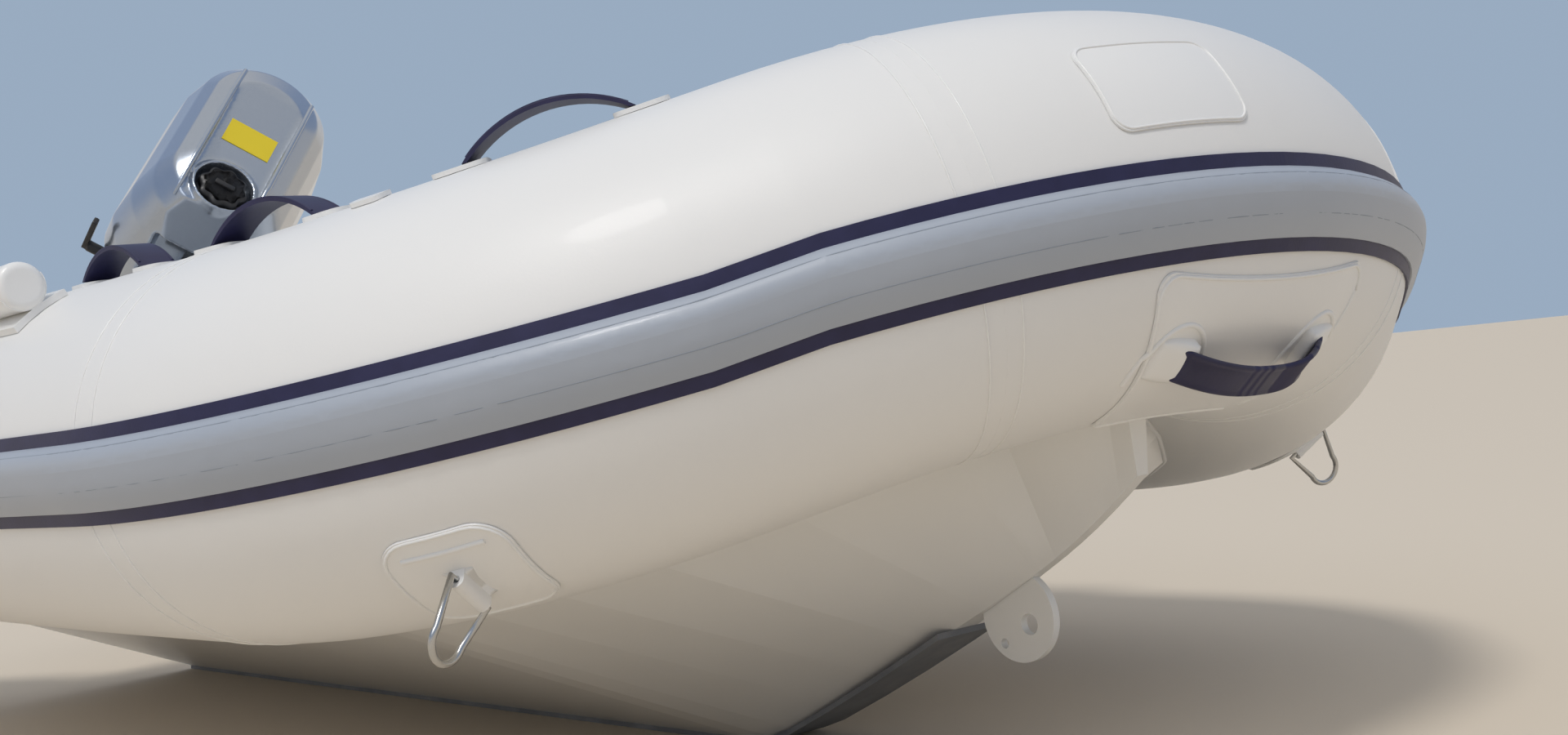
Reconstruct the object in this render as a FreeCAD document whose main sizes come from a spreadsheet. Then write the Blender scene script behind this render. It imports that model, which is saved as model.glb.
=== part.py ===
import FreeCAD, Part
import math
import os
from FreeCAD import Placement, Rotation
from FreeCAD import Vector as Vec

# A small rigid-hulled inflatable tender with a portable outboard motor on its transom.
# Millimetres. +X to the bow, +Y to port, +Z up. The origin is on the floor, amidships,
# on the centre plane, under the flat keel guard that the boat stands on.
# Heights with the name rise are measured from the axis of the aft tubes.

doc = FreeCAD.newDocument("rib_tender")
sheet = doc.addObject("Spreadsheet::Sheet", "Sizes")

SIZES = [
    # buoyancy tube: its axis is a polygon with round bends
    ("bow_station", 1346.2),
    ("axis_height", 390.0),
    ("tube_radius", 180.0),
    ("half_spacing", 592.0),
    ("toe_in_back", 796.0),
    ("corner_back", 287.0),
    ("corner_inset", 21.0),
    ("bow_half", 168.0),
    ("bow_rise", 124.0),
    ("toe_in_bend", 6000.0),
    ("corner_bend", 500.0),
    ("bow_seam_run", 228.0),
    ("aft_seam_run", 848.0),
    ("tube_end_back", 2190.0),
    ("cone_length", 215.0),
    ("cone_end_radius", 92.0),
    ("cone_round", 30.0),
    ("cone_cap_radius", 66.0),
    ("cone_cap_depth", 12.0),
    ("skin_gap", 0.3),
    # rubbing strake, in degrees round the tube from the level of its axis
    ("band_top_angle", 9.3),
    ("fender_top_angle", 5.5),
    ("fender_low_angle", -12.8),
    ("band_low_angle", -16.6),
    ("band_thickness", 2.2),
    ("fender_edge", 4.0),
    ("fender_depth", 16.0),
    # rigid hull
    ("keel_clearance", 6.0),
    ("keel_flat_half", 42.0),
    ("forefoot_back", 545.0),
    ("chin_back", 475.0),
    ("chin_slope", 0.43),
    ("stem_foot_back", 121.0),
    ("stem_foot_slope", 0.55),
    ("stem_head_back", 12.0),
    ("stem_head_slope", 0.8),
    ("stem_half", 8.0),
    ("contact_angle_aft", 20.0),
    ("contact_angle_shoulder", 35.0),
    ("contact_shoulder_run", 120.0),
    ("stem_front", 5.0),
    ("deck_drop", 112.0),
    ("deck_thickness", 12.0),
    ("foredeck_back", 470.0),
    ("foredeck_rise", 26.0),
    ("locker_fore_back", 270.0),
    ("locker_aft_back", 430.0),
    ("locker_half", 120.0),
    ("locker_depth", 118.0),
    ("lid_lap", 14.0),
    ("lid_thickness", 8.0),
    ("lid_hinge_radius", 5.0),
    ("guard_width", 84.0),
    ("guard_front_back", 232.0),
    # transom
    ("transom_back", 2075.0),
    ("transom_thickness", 34.0),
    ("transom_rise", 158.0),
    ("transom_notch_half", 175.0),
    ("transom_shoulder_rise", 195.0),
    ("transom_side_rise", 135.0),
    ("transom_side_inset", 90.0),
    ("motor_pad_half", 120.0),
    ("motor_pad_height", 210.0),
    ("motor_pad_thickness", 5.0),
    ("lifting_half_spacing", 250.0),
    ("lifting_drop", 30.0),
    ("lifting_eye_half", 22.0),
    ("lifting_plate_half", 40.0),
    ("drain_half_spacing", 330.0),
    ("drain_radius", 19.0),
    ("drain_wall", 4.0),
    ("drain_flange", 30.0),
    # bow eye plate
    ("eye_plate_thickness", 9.0),
    ("eye_plate_radius", 45.0),
    ("eye_back", 158.0),
    ("eye_drop", 241.0),
    ("eye_hole_radius", 10.5),
    ("eye_hole_fore", 14.0),
    ("eye_hole_drop", 7.0),
    ("eye_small_radius", 5.0),
    ("eye_small_fore", -20.0),
    ("eye_small_drop", 27.0),
    # motor: heights and reaches from its tilt axis
    ("tilt_axis_aft", 15.0),
    ("tilt_axis_above", 27.0),
    ("motor_tilt", 62.0),
    ("motor_steer", 38.0),
    ("swivel_back", 85.0),
    ("swivel_radius", 27.0),
    ("swivel_length", 200.0),
    ("bracket_half", 74.0),
    ("bracket_plate", 12.0),
    ("bracket_leg", 300.0),
    ("bracket_hook", 115.0),
    ("tilt_pin_radius", 8.0),
    ("pin_clearance", 0.1),
    ("swivel_pin_radius", 14.0),
    ("plate_drop", 535.0),
    ("propeller_drop", 113.0),
    ("propeller_back", 158.0),
    ("propeller_radius", 98.0),
    ("hub_radius", 25.0),
    ("hub_length", 62.0),
    ("gear_radius", 34.0),
    ("gear_nose_radius", 20.0),
    ("shaft_radius", 8.0),
    ("shaft_seat", 30.0),
    ("skeg_drop", 112.0),
    ("pan_low", 74.0),
    ("pan_high", 128.0),
    ("cowl_front", 118.0),
    ("cowl_back", 362.0),
    ("cowl_half", 138.0),
    ("cowl_top", 399.0),
    ("channel_half", 60.0),
    ("channel_depth", 26.0),
    ("channel_start", 230.0),
    ("channel_bend", 64.0),
    ("channel_foot_drop", 108.0),
    ("starter_recess", 46.0),
    ("cap_radius", 44.0),
    ("cap_height", 30.0),
    ("cap_fore", 14.0),
    ("cap_drop", 38.0),
    ("cap_pocket_gap", 4.0),
    ("cap_rim", 6.0),
    ("cap_rim_drop", 12.0),
    ("tiller_rise_angle", 20.0),
    ("tiller_arm", 150.0),
    ("tiller_grip", 135.0),
    ("tiller_radius", 17.0),
    # handles, rings and patches on the tube
    ("strap_thickness", 4.5),
    ("strap_width", 36.0),
    ("strap_span", 140.0),
    ("strap_rise", 33.0),
    ("strap_angle", 88.0),
    ("strap_first_run", 476.0),
    ("strap_pitch", 315.0),
    ("bow_strap_width", 33.0),
    ("bow_strap_span", 208.0),
    ("bow_strap_rise", 50.0),
    ("bow_strap_angle", -47.0),
    ("base_length", 48.0),
    ("base_width", 46.0),
    ("base_height", 4.0),
    ("patch_thickness", 1.6),
    ("bow_patch_top_half", 150.0),
    ("bow_patch_low_half", 104.0),
    ("bow_patch_low", 103.0),
    ("bow_patch_high", 74.0),
    ("ring_wire", 3.0),
    ("ring_width", 60.0),
    ("ring_drop", 68.0),
    ("ring_run", 603.0),
    ("ring_aft_run", 1700.0),
    ("ring_angle", -54.0),
    ("sleeve_radius", 7.0),
    ("sleeve_length", 42.0),
    ("ring_patch_length", 112.0),
    ("ring_patch_width", 124.0),
    ("ring_patch_shift", 2.0),
    ("logo_patch_length", 150.0),
    ("logo_patch_width", 88.0),
    ("logo_patch_run", 75.0),
    ("logo_patch_angle", 32.0),
    ("tab_length", 30.0),
    ("tab_width", 30.0),
    ("tab_angle", 74.0),
    ("valve_fore_run", 700.0),
    ("valve_aft_run", 1250.0),
    ("valve_angle", 150.0),
    ("valve_radius", 24.0),
    ("valve_height", 7.0),
    # oars and seat
    ("oar_angle", 56.0),
    ("oar_run", 1100.0),
    ("oar_length", 1280.0),
    ("oar_shaft_radius", 15.0),
    ("oar_stand_off", 30.0),
    ("oar_blade_length", 380.0),
    ("oar_blade_width", 128.0),
    ("oar_blade_thickness", 7.0),
    ("cup_radius", 24.0),
    ("cup_length", 95.0),
    ("lock_run", 1480.0),
    ("lock_width", 46.0),
    ("seat_back", 1360.0),
    ("seat_width", 215.0),
    ("seat_thickness", 28.0),
    ("seat_rise", 96.0),
    ("seat_bracket_height", 60.0),
]

for line, (alias, value) in enumerate(SIZES, start=1):
    sheet.set(f"A{line}", alias)
    sheet.set(f"B{line}", str(value))
    sheet.setAlias(f"B{line}", alias)
doc.recompute()

subparts = []


def size(alias):
    return float(sheet.get(alias))


def cell(alias):
    return f"Sizes.{alias}"


def keep(label, obj):
    obj.Label = label
    subparts.append(obj)
    return obj


def feature(label, shape, placement=None):
    obj = doc.addObject("Part::Feature", label)
    obj.Shape = shape
    if placement is not None:
        obj.Placement = placement.multiply(shape.Placement)
    return keep(label, obj)


def plane_of(body, role):
    return next(f for f in body.Origin.OriginFeatures if f.Role == role)


def sketch_in(body, name, role):
    sketch = body.newObject("Sketcher::SketchObject", name)
    sketch.AttachmentSupport = [(plane_of(body, role), "")]
    sketch.MapMode = "FlatFace"
    return sketch


def degrees_sin(angle):
    return math.sin(math.radians(angle))


def degrees_cos(angle):
    return math.cos(math.radians(angle))


R = size("tube_radius")
GAP = size("skin_gap")
BOW_X = size("bow_station")
AXIS_Z = size("axis_height")


def place(back, y, rise):
    """A point given by its distance aft of the bow tube's axis, its side and its rise."""
    return Vec(BOW_X - back, y, AXIS_Z + rise)


# The tube's axis on the starboard side, from the centre plane at the bow to the stern

class Run:
    """One straight or round stretch of the tube's axis."""

    def __init__(self, start, end, direction, centre=None, turn=0.0):
        self.start = start
        self.end = end
        self.direction = direction
        self.centre = centre
        self.turn = turn
        if centre is None:
            self.length = (end - start).Length
        else:
            self.radius = (start - centre).Length
            self.length = self.radius * turn

    def at(self, run):
        if self.centre is None:
            return self.start + self.direction * run, Vec(self.direction)
        angle = run / self.radius
        out = (self.start - self.centre).normalize()
        point = self.centre + out * (self.radius * math.cos(angle)) + self.direction * (
            self.radius * math.sin(angle)
        )
        tangent = self.direction * math.cos(angle) - out * math.sin(angle)
        return point, tangent


def tube_axis():
    corners = [
        place(0, 0, size("bow_rise")),
        place(0, -size("bow_half"), size("bow_rise")),
        place(size("corner_back"), size("corner_inset") - size("half_spacing"), 0),
        place(size("toe_in_back"), -size("half_spacing"), 0),
        place(size("tube_end_back"), -size("half_spacing"), 0),
    ]
    bends = [None, size("corner_bend"), size("toe_in_bend")]
    runs = []
    here = corners[0]
    for before, corner, after, bend in zip(corners, corners[1:], corners[2:], bends):
        into = (corner - before).normalize()
        out = (after - corner).normalize()
        turn = into.getAngle(out)
        if bend is None:
            bend = (corner - before).Length / math.tan(turn / 2)
        trim = bend * math.tan(turn / 2)
        bend_start = corner - into * trim
        if (bend_start - here).Length > 0.5:
            runs.append(Run(here, bend_start, into))
        side = (out - into * into.dot(out)).normalize()
        bend_end = corner + out * trim
        runs.append(Run(bend_start, bend_end, into, bend_start + side * bend, turn))
        here = bend_end
    last = (corners[-1] - corners[-2]).normalize()
    runs.append(Run(here, corners[-1], last))
    return runs


AXIS = tube_axis()
AXIS_LENGTH = sum(run.length for run in AXIS)


def axis_at(distance):
    """Point and direction of the tube's axis at a distance from the centre plane."""
    rest = distance
    for run in AXIS:
        if rest <= run.length or run is AXIS[-1]:
            return run.at(rest)
        rest -= run.length


def axis_wire(first, last):
    edges = []
    begin = 0.0
    for run in AXIS:
        low = max(first - begin, 0.0)
        high = min(last - begin, run.length)
        begin += run.length
        if high - low < 0.2:
            continue
        start = run.at(low)[0]
        end = run.at(high)[0]
        if run.centre is None:
            edges.append(Part.LineSegment(start, end).toShape())
        else:
            middle = run.at((low + high) / 2)[0]
            edges.append(Part.Arc(start, middle, end).toShape())
    return Part.Wire(edges)


def mirrored(shape):
    return shape.mirror(Vec(0, 0, 0), Vec(0, 1, 0))


def round_pipe(first, last, radius, bore=0.0):
    start, direction = axis_at(first)
    profile = Part.Face(Part.Wire(Part.makeCircle(radius, start, direction)))
    if bore > 0:
        hole = Part.Face(Part.Wire(Part.makeCircle(bore, start, direction)))
        profile = profile.cut(hole).Faces[0]
    return axis_wire(first, last).makePipe(profile)


def frame_on_tube(distance, angle, radius=None):
    """Placement on the starboard tube: X along the axis to the stern, Z straight out."""
    centre, along = axis_at(distance)
    outward = Vec(0, 0, 1).cross(along).normalize()
    if outward.dot(centre - place(size("transom_back") / 2, 0, 0)) < 0:
        outward = outward * -1
    upward = along.cross(outward)
    if upward.z < 0:
        upward = upward * -1
    radial = outward * degrees_cos(angle) + upward * degrees_sin(angle)
    across = radial.cross(along)
    turn = Rotation(along, across, radial, "ZXY")
    reach = R if radius is None else radius
    return Placement(centre + radial * reach, turn)


def moved(shape, placement):
    copy = shape.copy()
    copy.Placement = placement.multiply(copy.Placement)
    return copy


def rounded_face(length, width, corner, x=0.0, y=0.0):
    """A flat rounded rectangle centred on x, y in the plane of X and Y."""
    box = Part.makePlane(length, width, Vec(x - length / 2, y - width / 2, 0))
    wire = box.Wires[0]
    return Part.Face(round_corners([v.Point for v in wire.OrderedVertexes], corner))


def round_corners(points, corner):
    """A closed wire through the points, each corner an arc of the given radius."""
    count = len(points)
    edges = []
    ends = []
    for index in range(count):
        before = points[index - 1]
        here = points[index]
        after = points[(index + 1) % count]
        into = (here - before).normalize()
        out = (after - here).normalize()
        turn = into.getAngle(out)
        radius = corner[index] if isinstance(corner, (list, tuple)) else corner
        trim = radius * math.tan(turn / 2)
        start = here - into * trim
        end = here + out * trim
        side = (out - into * into.dot(out)).normalize()
        centre = start + side * radius
        middle = centre + (here - centre).normalize() * radius
        ends.append((start, middle, end))
    for index, (start, middle, end) in enumerate(ends):
        if (start - end).Length > 0.01:
            edges.append(Part.Arc(start, middle, end).toShape())
        following = ends[(index + 1) % count][0]
        if (following - end).Length > 0.01:
            edges.append(Part.LineSegment(end, following).toShape())
    return Part.Wire(edges)


def wrapped(face, distance, angle, reach, thickness, half_length):
    """A pad of even thickness that lies on the tube, cut to the outline of a flat face."""
    prism = face.extrude(Vec(0, 0, 2 * reach))
    prism.translate(Vec(0, 0, -reach))
    prism = moved(prism, frame_on_tube(distance, angle))
    low = max(distance - half_length, 0.0)
    skin = round_pipe(low, distance + half_length, R + GAP + thickness, R + GAP)
    if distance - half_length < 0:
        skin = skin.fuse(
            mirrored(round_pipe(0.0, half_length - distance, R + GAP + thickness, R + GAP))
        )
        return prism.common(skin).removeSplitter()
    return prism.common(skin)


def both_sides(label, shapes):
    """Pieces of the starboard side as one node, and their mirror images as another."""
    starboard = Part.makeCompound(shapes)
    feature(f"{label}_starboard", starboard)
    feature(f"{label}_port", mirrored(starboard))


# Buoyancy tube: three panels that meet at the bow seams, and a cone at each end

bow_seam = size("bow_seam_run")
side_starboard = round_pipe(bow_seam, AXIS_LENGTH, R)
bow_half = round_pipe(0.0, bow_seam, R)
feature("tube_starboard", side_starboard)
feature("tube_port", mirrored(side_starboard))
feature("tube_bow", bow_half.fuse(mirrored(bow_half)).removeSplitter())

ENVELOPE_HALF = round_pipe(0.0, AXIS_LENGTH, R + GAP)
ENVELOPE = ENVELOPE_HALF.fuse(mirrored(ENVELOPE_HALF)).removeSplitter()


def end_cone(label, side):
    body = doc.addObject("PartDesign::Body", f"{label}_body")
    sketch = sketch_in(body, f"{label}_profile", "XZ_Plane")
    points = [
        Vec(0, 0, 0),
        Vec(0, size("tube_radius"), 0),
        Vec(-size("cone_length"), size("cone_end_radius"), 0),
        Vec(-size("cone_length"), 0, 0),
    ]
    for start, end in zip(points, points[1:] + points[:1]):
        sketch.addGeometry(Part.LineSegment(start, end), False)
    doc.recompute()
    turn = body.newObject("PartDesign::Revolution", f"{label}_turned")
    turn.Profile = sketch
    turn.ReferenceAxis = (sketch, ["H_Axis"])
    turn.Angle = 360
    sketch.Visibility = False
    doc.recompute()
    rim = [
        f"Edge{n}"
        for n, edge in enumerate(turn.Shape.Edges, start=1)
        if edge.Closed and abs(edge.CenterOfMass.x + size("cone_length")) < 1
    ]
    rounding = body.newObject("PartDesign::Fillet", f"{label}_rounding")
    rounding.Base = (turn, rim)
    rounding.Radius = size("cone_round")
    rounding.setExpression("Radius", cell("cone_round"))
    body.Placement = Placement(
        place(size("tube_end_back"), side * size("half_spacing"), 0), Rotation()
    )
    return keep(label, body)


for side, word in ((-1, "starboard"), (1, "port")):
    end_cone(f"end_cone_{word}", side)

end_caps = []
for side in (-1, 1):
    centre = place(
        size("tube_end_back") + size("cone_length"), side * size("half_spacing"), 0
    )
    cap = Part.makeCylinder(
        size("cone_cap_radius"), size("cone_cap_depth"), centre, Vec(-1, 0, 0)
    )
    end_caps.append(cap)
feature("end_caps", Part.makeCompound(end_caps))


# Rubbing strake: a hollow-looking D section between two flat bands, all round the bow

def band_profile(low_angle, high_angle, crown_points):
    """A closed section on the starboard side at the stern, seen from aft."""
    centre, along = axis_at(AXIS_LENGTH)
    inner = R + 2 * GAP

    def spot(angle, radius):
        return centre + Vec(0, -radius * degrees_cos(angle), radius * degrees_sin(angle))

    middle_angle = (low_angle + high_angle) / 2
    edges = [
        Part.Arc(
            spot(low_angle, inner), spot(middle_angle, inner), spot(high_angle, inner)
        ).toShape()
    ]
    outline = [spot(high_angle, inner)]
    outline += [spot(angle, inner + depth) for angle, depth in crown_points]
    outline.append(spot(low_angle, inner))
    edges.append(Part.LineSegment(outline[0], outline[1]).toShape())
    rest = outline[1:-1]
    for first, second, third in zip(rest[0::2], rest[1::2], rest[2::2]):
        edges.append(Part.Arc(first, second, third).toShape())
    edges.append(Part.LineSegment(outline[-2], outline[-1]).toShape())
    return Part.Wire(Part.__sortEdges__(edges))


def swept_round(profile):
    half = axis_wire(0.0, AXIS_LENGTH)
    spine = Part.Wire(Part.__sortEdges__(half.Edges + mirrored(half).Edges))
    pipe = Part.BRepOffsetAPI.MakePipeShell(spine)
    pipe.setBiNormalMode(Vec(0, 0, 1))
    pipe.add(profile, False, False)
    pipe.build()
    pipe.makeSolid()
    return pipe.shape()


band = size("band_thickness")
edge_depth = size("fender_edge")
deep = size("fender_depth")
top_band = size("band_top_angle")
top_fender = size("fender_top_angle")
low_fender = size("fender_low_angle")
low_band = size("band_low_angle")
fender_span = top_fender - low_fender

upper_band = swept_round(
    band_profile(
        top_fender,
        top_band,
        [(top_band, band), ((top_band + top_fender) / 2, band), (top_fender, band)],
    )
)
feature(
    "strake_fender",
    swept_round(
        band_profile(
            low_fender,
            top_fender,
            [
                (top_fender, edge_depth),
                (top_fender - 0.12 * fender_span, 0.78 * deep),
                (top_fender - 0.38 * fender_span, deep),
                (top_fender - 0.66 * fender_span, 0.80 * deep),
                (low_fender, edge_depth),
            ],
        )
    ),
)
lower_band = swept_round(
    band_profile(
        low_band,
        low_fender,
        [(low_fender, band), ((low_fender + low_band) / 2, band), (low_band, band)],
    )
)
feature("strake_bands", Part.makeCompound([upper_band, lower_band]))


# Rigid hull: a deep V that closes against the underside of the tube, with a raised
# foredeck that holds the bow locker

keel_z = size("keel_clearance")
forefoot = size("forefoot_back")
foot_back = size("stem_foot_back")
KEEL_SLOPES = [
    (forefoot, 0.0),
    (size("chin_back"), size("chin_slope")),
    (foot_back, size("stem_foot_slope")),
    (size("stem_head_back"), size("stem_head_slope")),
    (size("stem_head_back") - R, size("stem_head_slope")),
]


def keel_height(back):
    """Height of the keel line, whose slope grows evenly between the named stations."""
    height = keel_z
    for (aft, slope), (fore, next_slope) in zip(KEEL_SLOPES, KEEL_SLOPES[1:]):
        reach = aft - max(back, fore)
        if reach <= 0:
            break
        growth = (next_slope - slope) / (aft - fore)
        height += slope * reach + growth * reach**2 / 2
    return height


def contact_line():
    """Points where the hull's side reaches the tube, from the bow to the stern."""
    points = []
    steps = 80
    reach = axis_run_at(size("transom_back") - 600)
    for step in range(steps + 1):
        distance = reach * step / steps
        shoulder = size("contact_shoulder_run")
        share = min(max(distance - shoulder, 0.0) / (size("aft_seam_run") - shoulder), 1.0)
        angle = size("contact_angle_shoulder") * min(distance / shoulder, 1.0) + share * (
            size("contact_angle_aft") - size("contact_angle_shoulder")
        )
        points.append(frame_on_tube(distance, -90 - angle).Base)
    return points


def axis_run_at(back):
    low = 0.0
    high = AXIS_LENGTH
    for _ in range(40):
        middle = (low + high) / 2
        if BOW_X - axis_at(middle)[0].x < back:
            low = middle
        else:
            high = middle
    return (low + high) / 2


CONTACT = contact_line()


def contact_at(back):
    x = BOW_X - back
    for fore, aft in zip(CONTACT, CONTACT[1:]):
        if fore.x >= x >= aft.x:
            share = (fore.x - x) / max(fore.x - aft.x, 1e-6)
            return fore + (aft - fore) * share
    last = CONTACT[-1]
    return Vec(x, last.y, last.z) if x < last.x else Vec(x, CONTACT[0].y, CONTACT[0].z)


def hull_section(back):
    """The hull across at one station: keel flat, V side, then a flare inside the tube."""
    keel = keel_height(back)
    share = min(max((back - foot_back) / (forefoot - foot_back), 0.0), 1.0)
    keel_half = size("stem_half") + share * (size("keel_flat_half") - size("stem_half"))
    contact = contact_at(back)
    contact_half = max(-contact.y, 1.6 * size("stem_half"))
    keel_half = min(keel_half, contact_half * 0.6)
    rise = contact.z - keel
    run = contact_half - keel_half
    over = 30.0
    slope = math.hypot(rise, run)
    side_y = contact_half + run / slope * over
    side_z = contact.z + rise / slope * over
    top_z = AXIS_Z + size("foredeck_rise") + 40
    x = BOW_X - back
    half = [(keel_half, keel), (side_y, side_z), (side_y + 4, top_z)]
    points = [Vec(x, -y, z) for y, z in reversed(half)] + [Vec(x, y, z) for y, z in half]
    return Part.makePolygon(points + points[:1])


def between(first, last, count):
    """Evenly spaced stations after the first, up to and with the last."""
    return [first + (last - first) * step / count for step in range(1, count + 1)]


foremost = -size("stem_front")
stations = [size("transom_back")]
stations += between(size("transom_back"), forefoot, 4)
stations += between(forefoot, size("chin_back"), 2)
stations += between(size("chin_back"), foot_back, 5)
stations += between(foot_back, foremost, 6)
v_hull = Part.makeLoft([hull_section(back) for back in stations], True, True)

deck_z = AXIS_Z - size("deck_drop")
foredeck_z = AXIS_Z + size("foredeck_rise")
wide = 2 * size("half_spacing")
cockpit = Part.makeBox(
    size("transom_back") - size("foredeck_back") + 50,
    wide,
    400,
    Vec(BOW_X - size("transom_back") - 50, -wide / 2, deck_z),
)
above = Part.makeBox(
    size("transom_back") + 400,
    wide,
    400,
    Vec(BOW_X - size("transom_back") - 50, -wide / 2, foredeck_z),
)
locker_length = size("locker_aft_back") - size("locker_fore_back")
locker = Part.makeBox(
    locker_length,
    2 * size("locker_half"),
    size("locker_depth") + 10,
    Vec(
        BOW_X - size("locker_aft_back"),
        -size("locker_half"),
        foredeck_z - size("locker_depth"),
    ),
)
hull = v_hull.cut(cockpit).cut(above).cut(locker).cut(ENVELOPE)
hull = max(hull.Solids, key=lambda solid: solid.Volume)

# Bow eye plate: a round plate let into a slot in the stem, with a towing eye and a small hole
eye_x = BOW_X - size("eye_back")
eye_z = AXIS_Z - size("eye_drop")
plate_radius = size("eye_plate_radius")
plate_half = size("eye_plate_thickness") / 2


def across_disc(radius, fore, drop, half):
    """A disc across the centre plane, placed from the middle of the eye plate."""
    return Part.makeCylinder(
        radius, 2 * half, Vec(eye_x + fore, -half, eye_z - drop), Vec(0, 1, 0)
    )


eye_plate = across_disc(plate_radius, 0, 0, plate_half)
for name in ("eye_hole", "eye_small"):
    eye_plate = eye_plate.cut(
        across_disc(
            size(f"{name}_radius"), size(f"{name}_fore"), size(f"{name}_drop"), plate_half + 1
        )
    )
feature("bow_eye_plate", eye_plate)
hull = hull.cut(across_disc(plate_radius + GAP, 0, 0, plate_half + GAP))
feature("hull", hull)

# Deck: the flat floor plate inside, which ends at the foredeck's step and at the transom
deck_blank = Part.makeBox(
    size("transom_back") - size("foredeck_back") - 2 * GAP,
    wide,
    size("deck_thickness"),
    Vec(BOW_X - size("transom_back") + GAP, -wide / 2, deck_z + GAP),
)
deck = deck_blank.cut(ENVELOPE)
deck = min(
    deck.Solids, key=lambda solid: abs(solid.CenterOfMass.y) - solid.Volume * 1e-6
)
feature("deck_floor", deck)

# Bow locker lid: a plate that laps over the opening, with its hinge barrel at the front
lid_length = locker_length + 2 * size("lid_lap")
lid_half = size("locker_half") + size("lid_lap")
lid_face = rounded_face(lid_length, 2 * lid_half, 18.0)
lid_plate = lid_face.extrude(Vec(0, 0, size("lid_thickness")))
lid_x = BOW_X - (size("locker_aft_back") + size("locker_fore_back")) / 2
hinge_x = lid_x + lid_length / 2 + size("lid_hinge_radius") + 2
hinge_z = foredeck_z + GAP + size("lid_hinge_radius") + 1
lid_plate.translate(Vec(lid_x, 0, foredeck_z + GAP))
HINGE_SPANS = [(-1.0, -0.52), (-0.24, 0.24), (0.52, 1.0)]
barrel_reach = 0.62 * lid_half
lid_barrels = []
for low, high in HINGE_SPANS:
    start = low * barrel_reach
    length = (high - low) * barrel_reach
    barrel = Part.makeCylinder(
        size("lid_hinge_radius"), length, Vec(hinge_x, start, hinge_z), Vec(0, 1, 0)
    )
    bore = Part.makeCylinder(
        2.6, length, Vec(hinge_x, start, hinge_z), Vec(0, 1, 0)
    )
    leaf = Part.makeBox(
        size("lid_hinge_radius") + 6,
        length,
        3.0,
        Vec(hinge_x - size("lid_hinge_radius") - 6, start, hinge_z - 1.5),
    )
    lid_barrels.append(barrel.fuse(leaf).cut(bore))
lid = lid_plate.fuse(lid_barrels).removeSplitter()
feature("locker_lid", lid)
pin = Part.makeCylinder(
    2.5, 2 * barrel_reach, Vec(hinge_x, -barrel_reach, hinge_z), Vec(0, 1, 0)
)
lugs = []
for low, high in ((-0.48, -0.28), (0.28, 0.48)):
    start = low * barrel_reach
    length = (high - low) * barrel_reach
    lug = Part.makeBox(
        2 * size("lid_hinge_radius"),
        length,
        hinge_z - foredeck_z - GAP,
        Vec(hinge_x - size("lid_hinge_radius"), start, foredeck_z + GAP),
    )
    knuckle = Part.makeCylinder(
        size("lid_hinge_radius"), length, Vec(hinge_x, start, hinge_z), Vec(0, 1, 0)
    )
    lugs.append(lug.fuse(knuckle))
feature("locker_hinge", pin.fuse(lugs).removeSplitter())

# Keel guard: a flat strip under the keel that rises up the forefoot
guard_half = size("guard_width") / 2


def guard_outline():
    """The strip seen from the side: its upper edge follows the stations of the hull."""
    aft_x = BOW_X - size("transom_back") - size("transom_thickness")
    fore = size("guard_front_back")
    backs = [back for back in stations if fore < back <= forefoot] + [fore]
    upper = [Vec(aft_x, 0, keel_z)]
    upper += [Vec(BOW_X - back, 0, keel_height(back)) for back in backs]
    lower = [p - Vec(0, 0, keel_z) for p in reversed(upper)]
    points = upper + lower
    return Part.Face(Part.makePolygon(points + points[:1]))


guard = guard_outline().extrude(Vec(0, 2 * guard_half, 0))
guard.translate(Vec(0, -guard_half, 0))
feature("keel_guard", guard)

# Transom: a board between the tubes, cut down in the middle for the motor
transom_x = BOW_X - size("transom_back") - size("transom_thickness")
transom_top = AXIS_Z + size("transom_rise")
shoulder_z = AXIS_Z + size("transom_shoulder_rise")
notch = size("transom_notch_half")
side_y = size("half_spacing") - size("transom_side_inset")
contact_aft = contact_at(size("transom_back"))
board_points = [
    Vec(transom_x, -size("keel_flat_half"), keel_z),
    Vec(transom_x, contact_aft.y, contact_aft.z),
    Vec(transom_x, -side_y, contact_aft.z + 30),
    Vec(transom_x, -side_y, AXIS_Z + size("transom_side_rise")),
    Vec(transom_x, -notch - 50, shoulder_z),
    Vec(transom_x, -notch, transom_top),
]
board_points += [Vec(p.x, -p.y, p.z) for p in reversed(board_points)]
board = Part.Face(Part.makePolygon(board_points + board_points[:1])).extrude(
    Vec(size("transom_thickness") - GAP, 0, 0)
)
board = board.cut(ENVELOPE)
drain_z = deck_z + size("deck_thickness") + size("drain_radius") + 14
for side in (-1, 1):
    board = board.cut(
        Part.makeCylinder(
            size("drain_radius") + GAP,
            size("transom_thickness") + 20,
            Vec(transom_x - 10, side * size("drain_half_spacing"), drain_z),
            Vec(1, 0, 0),
        )
    )
board = max(board.Solids, key=lambda solid: solid.Volume)
feature("transom", board)

drains = []
for side in (-1, 1):
    centre = Vec(transom_x - 3, side * size("drain_half_spacing"), drain_z)
    sleeve = Part.makeCylinder(
        size("drain_radius"), size("transom_thickness") + 6, centre, Vec(1, 0, 0)
    )
    flange = Part.makeCylinder(size("drain_flange"), 3.0 - GAP, centre, Vec(1, 0, 0))
    bore = Part.makeCylinder(
        size("drain_radius") - size("drain_wall"), 200, centre + Vec(-50, 0, 0), Vec(1, 0, 0)
    )
    drains.append(sleeve.fuse(flange).cut(bore))
feature("drain_sockets", Part.makeCompound(drains))

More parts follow.
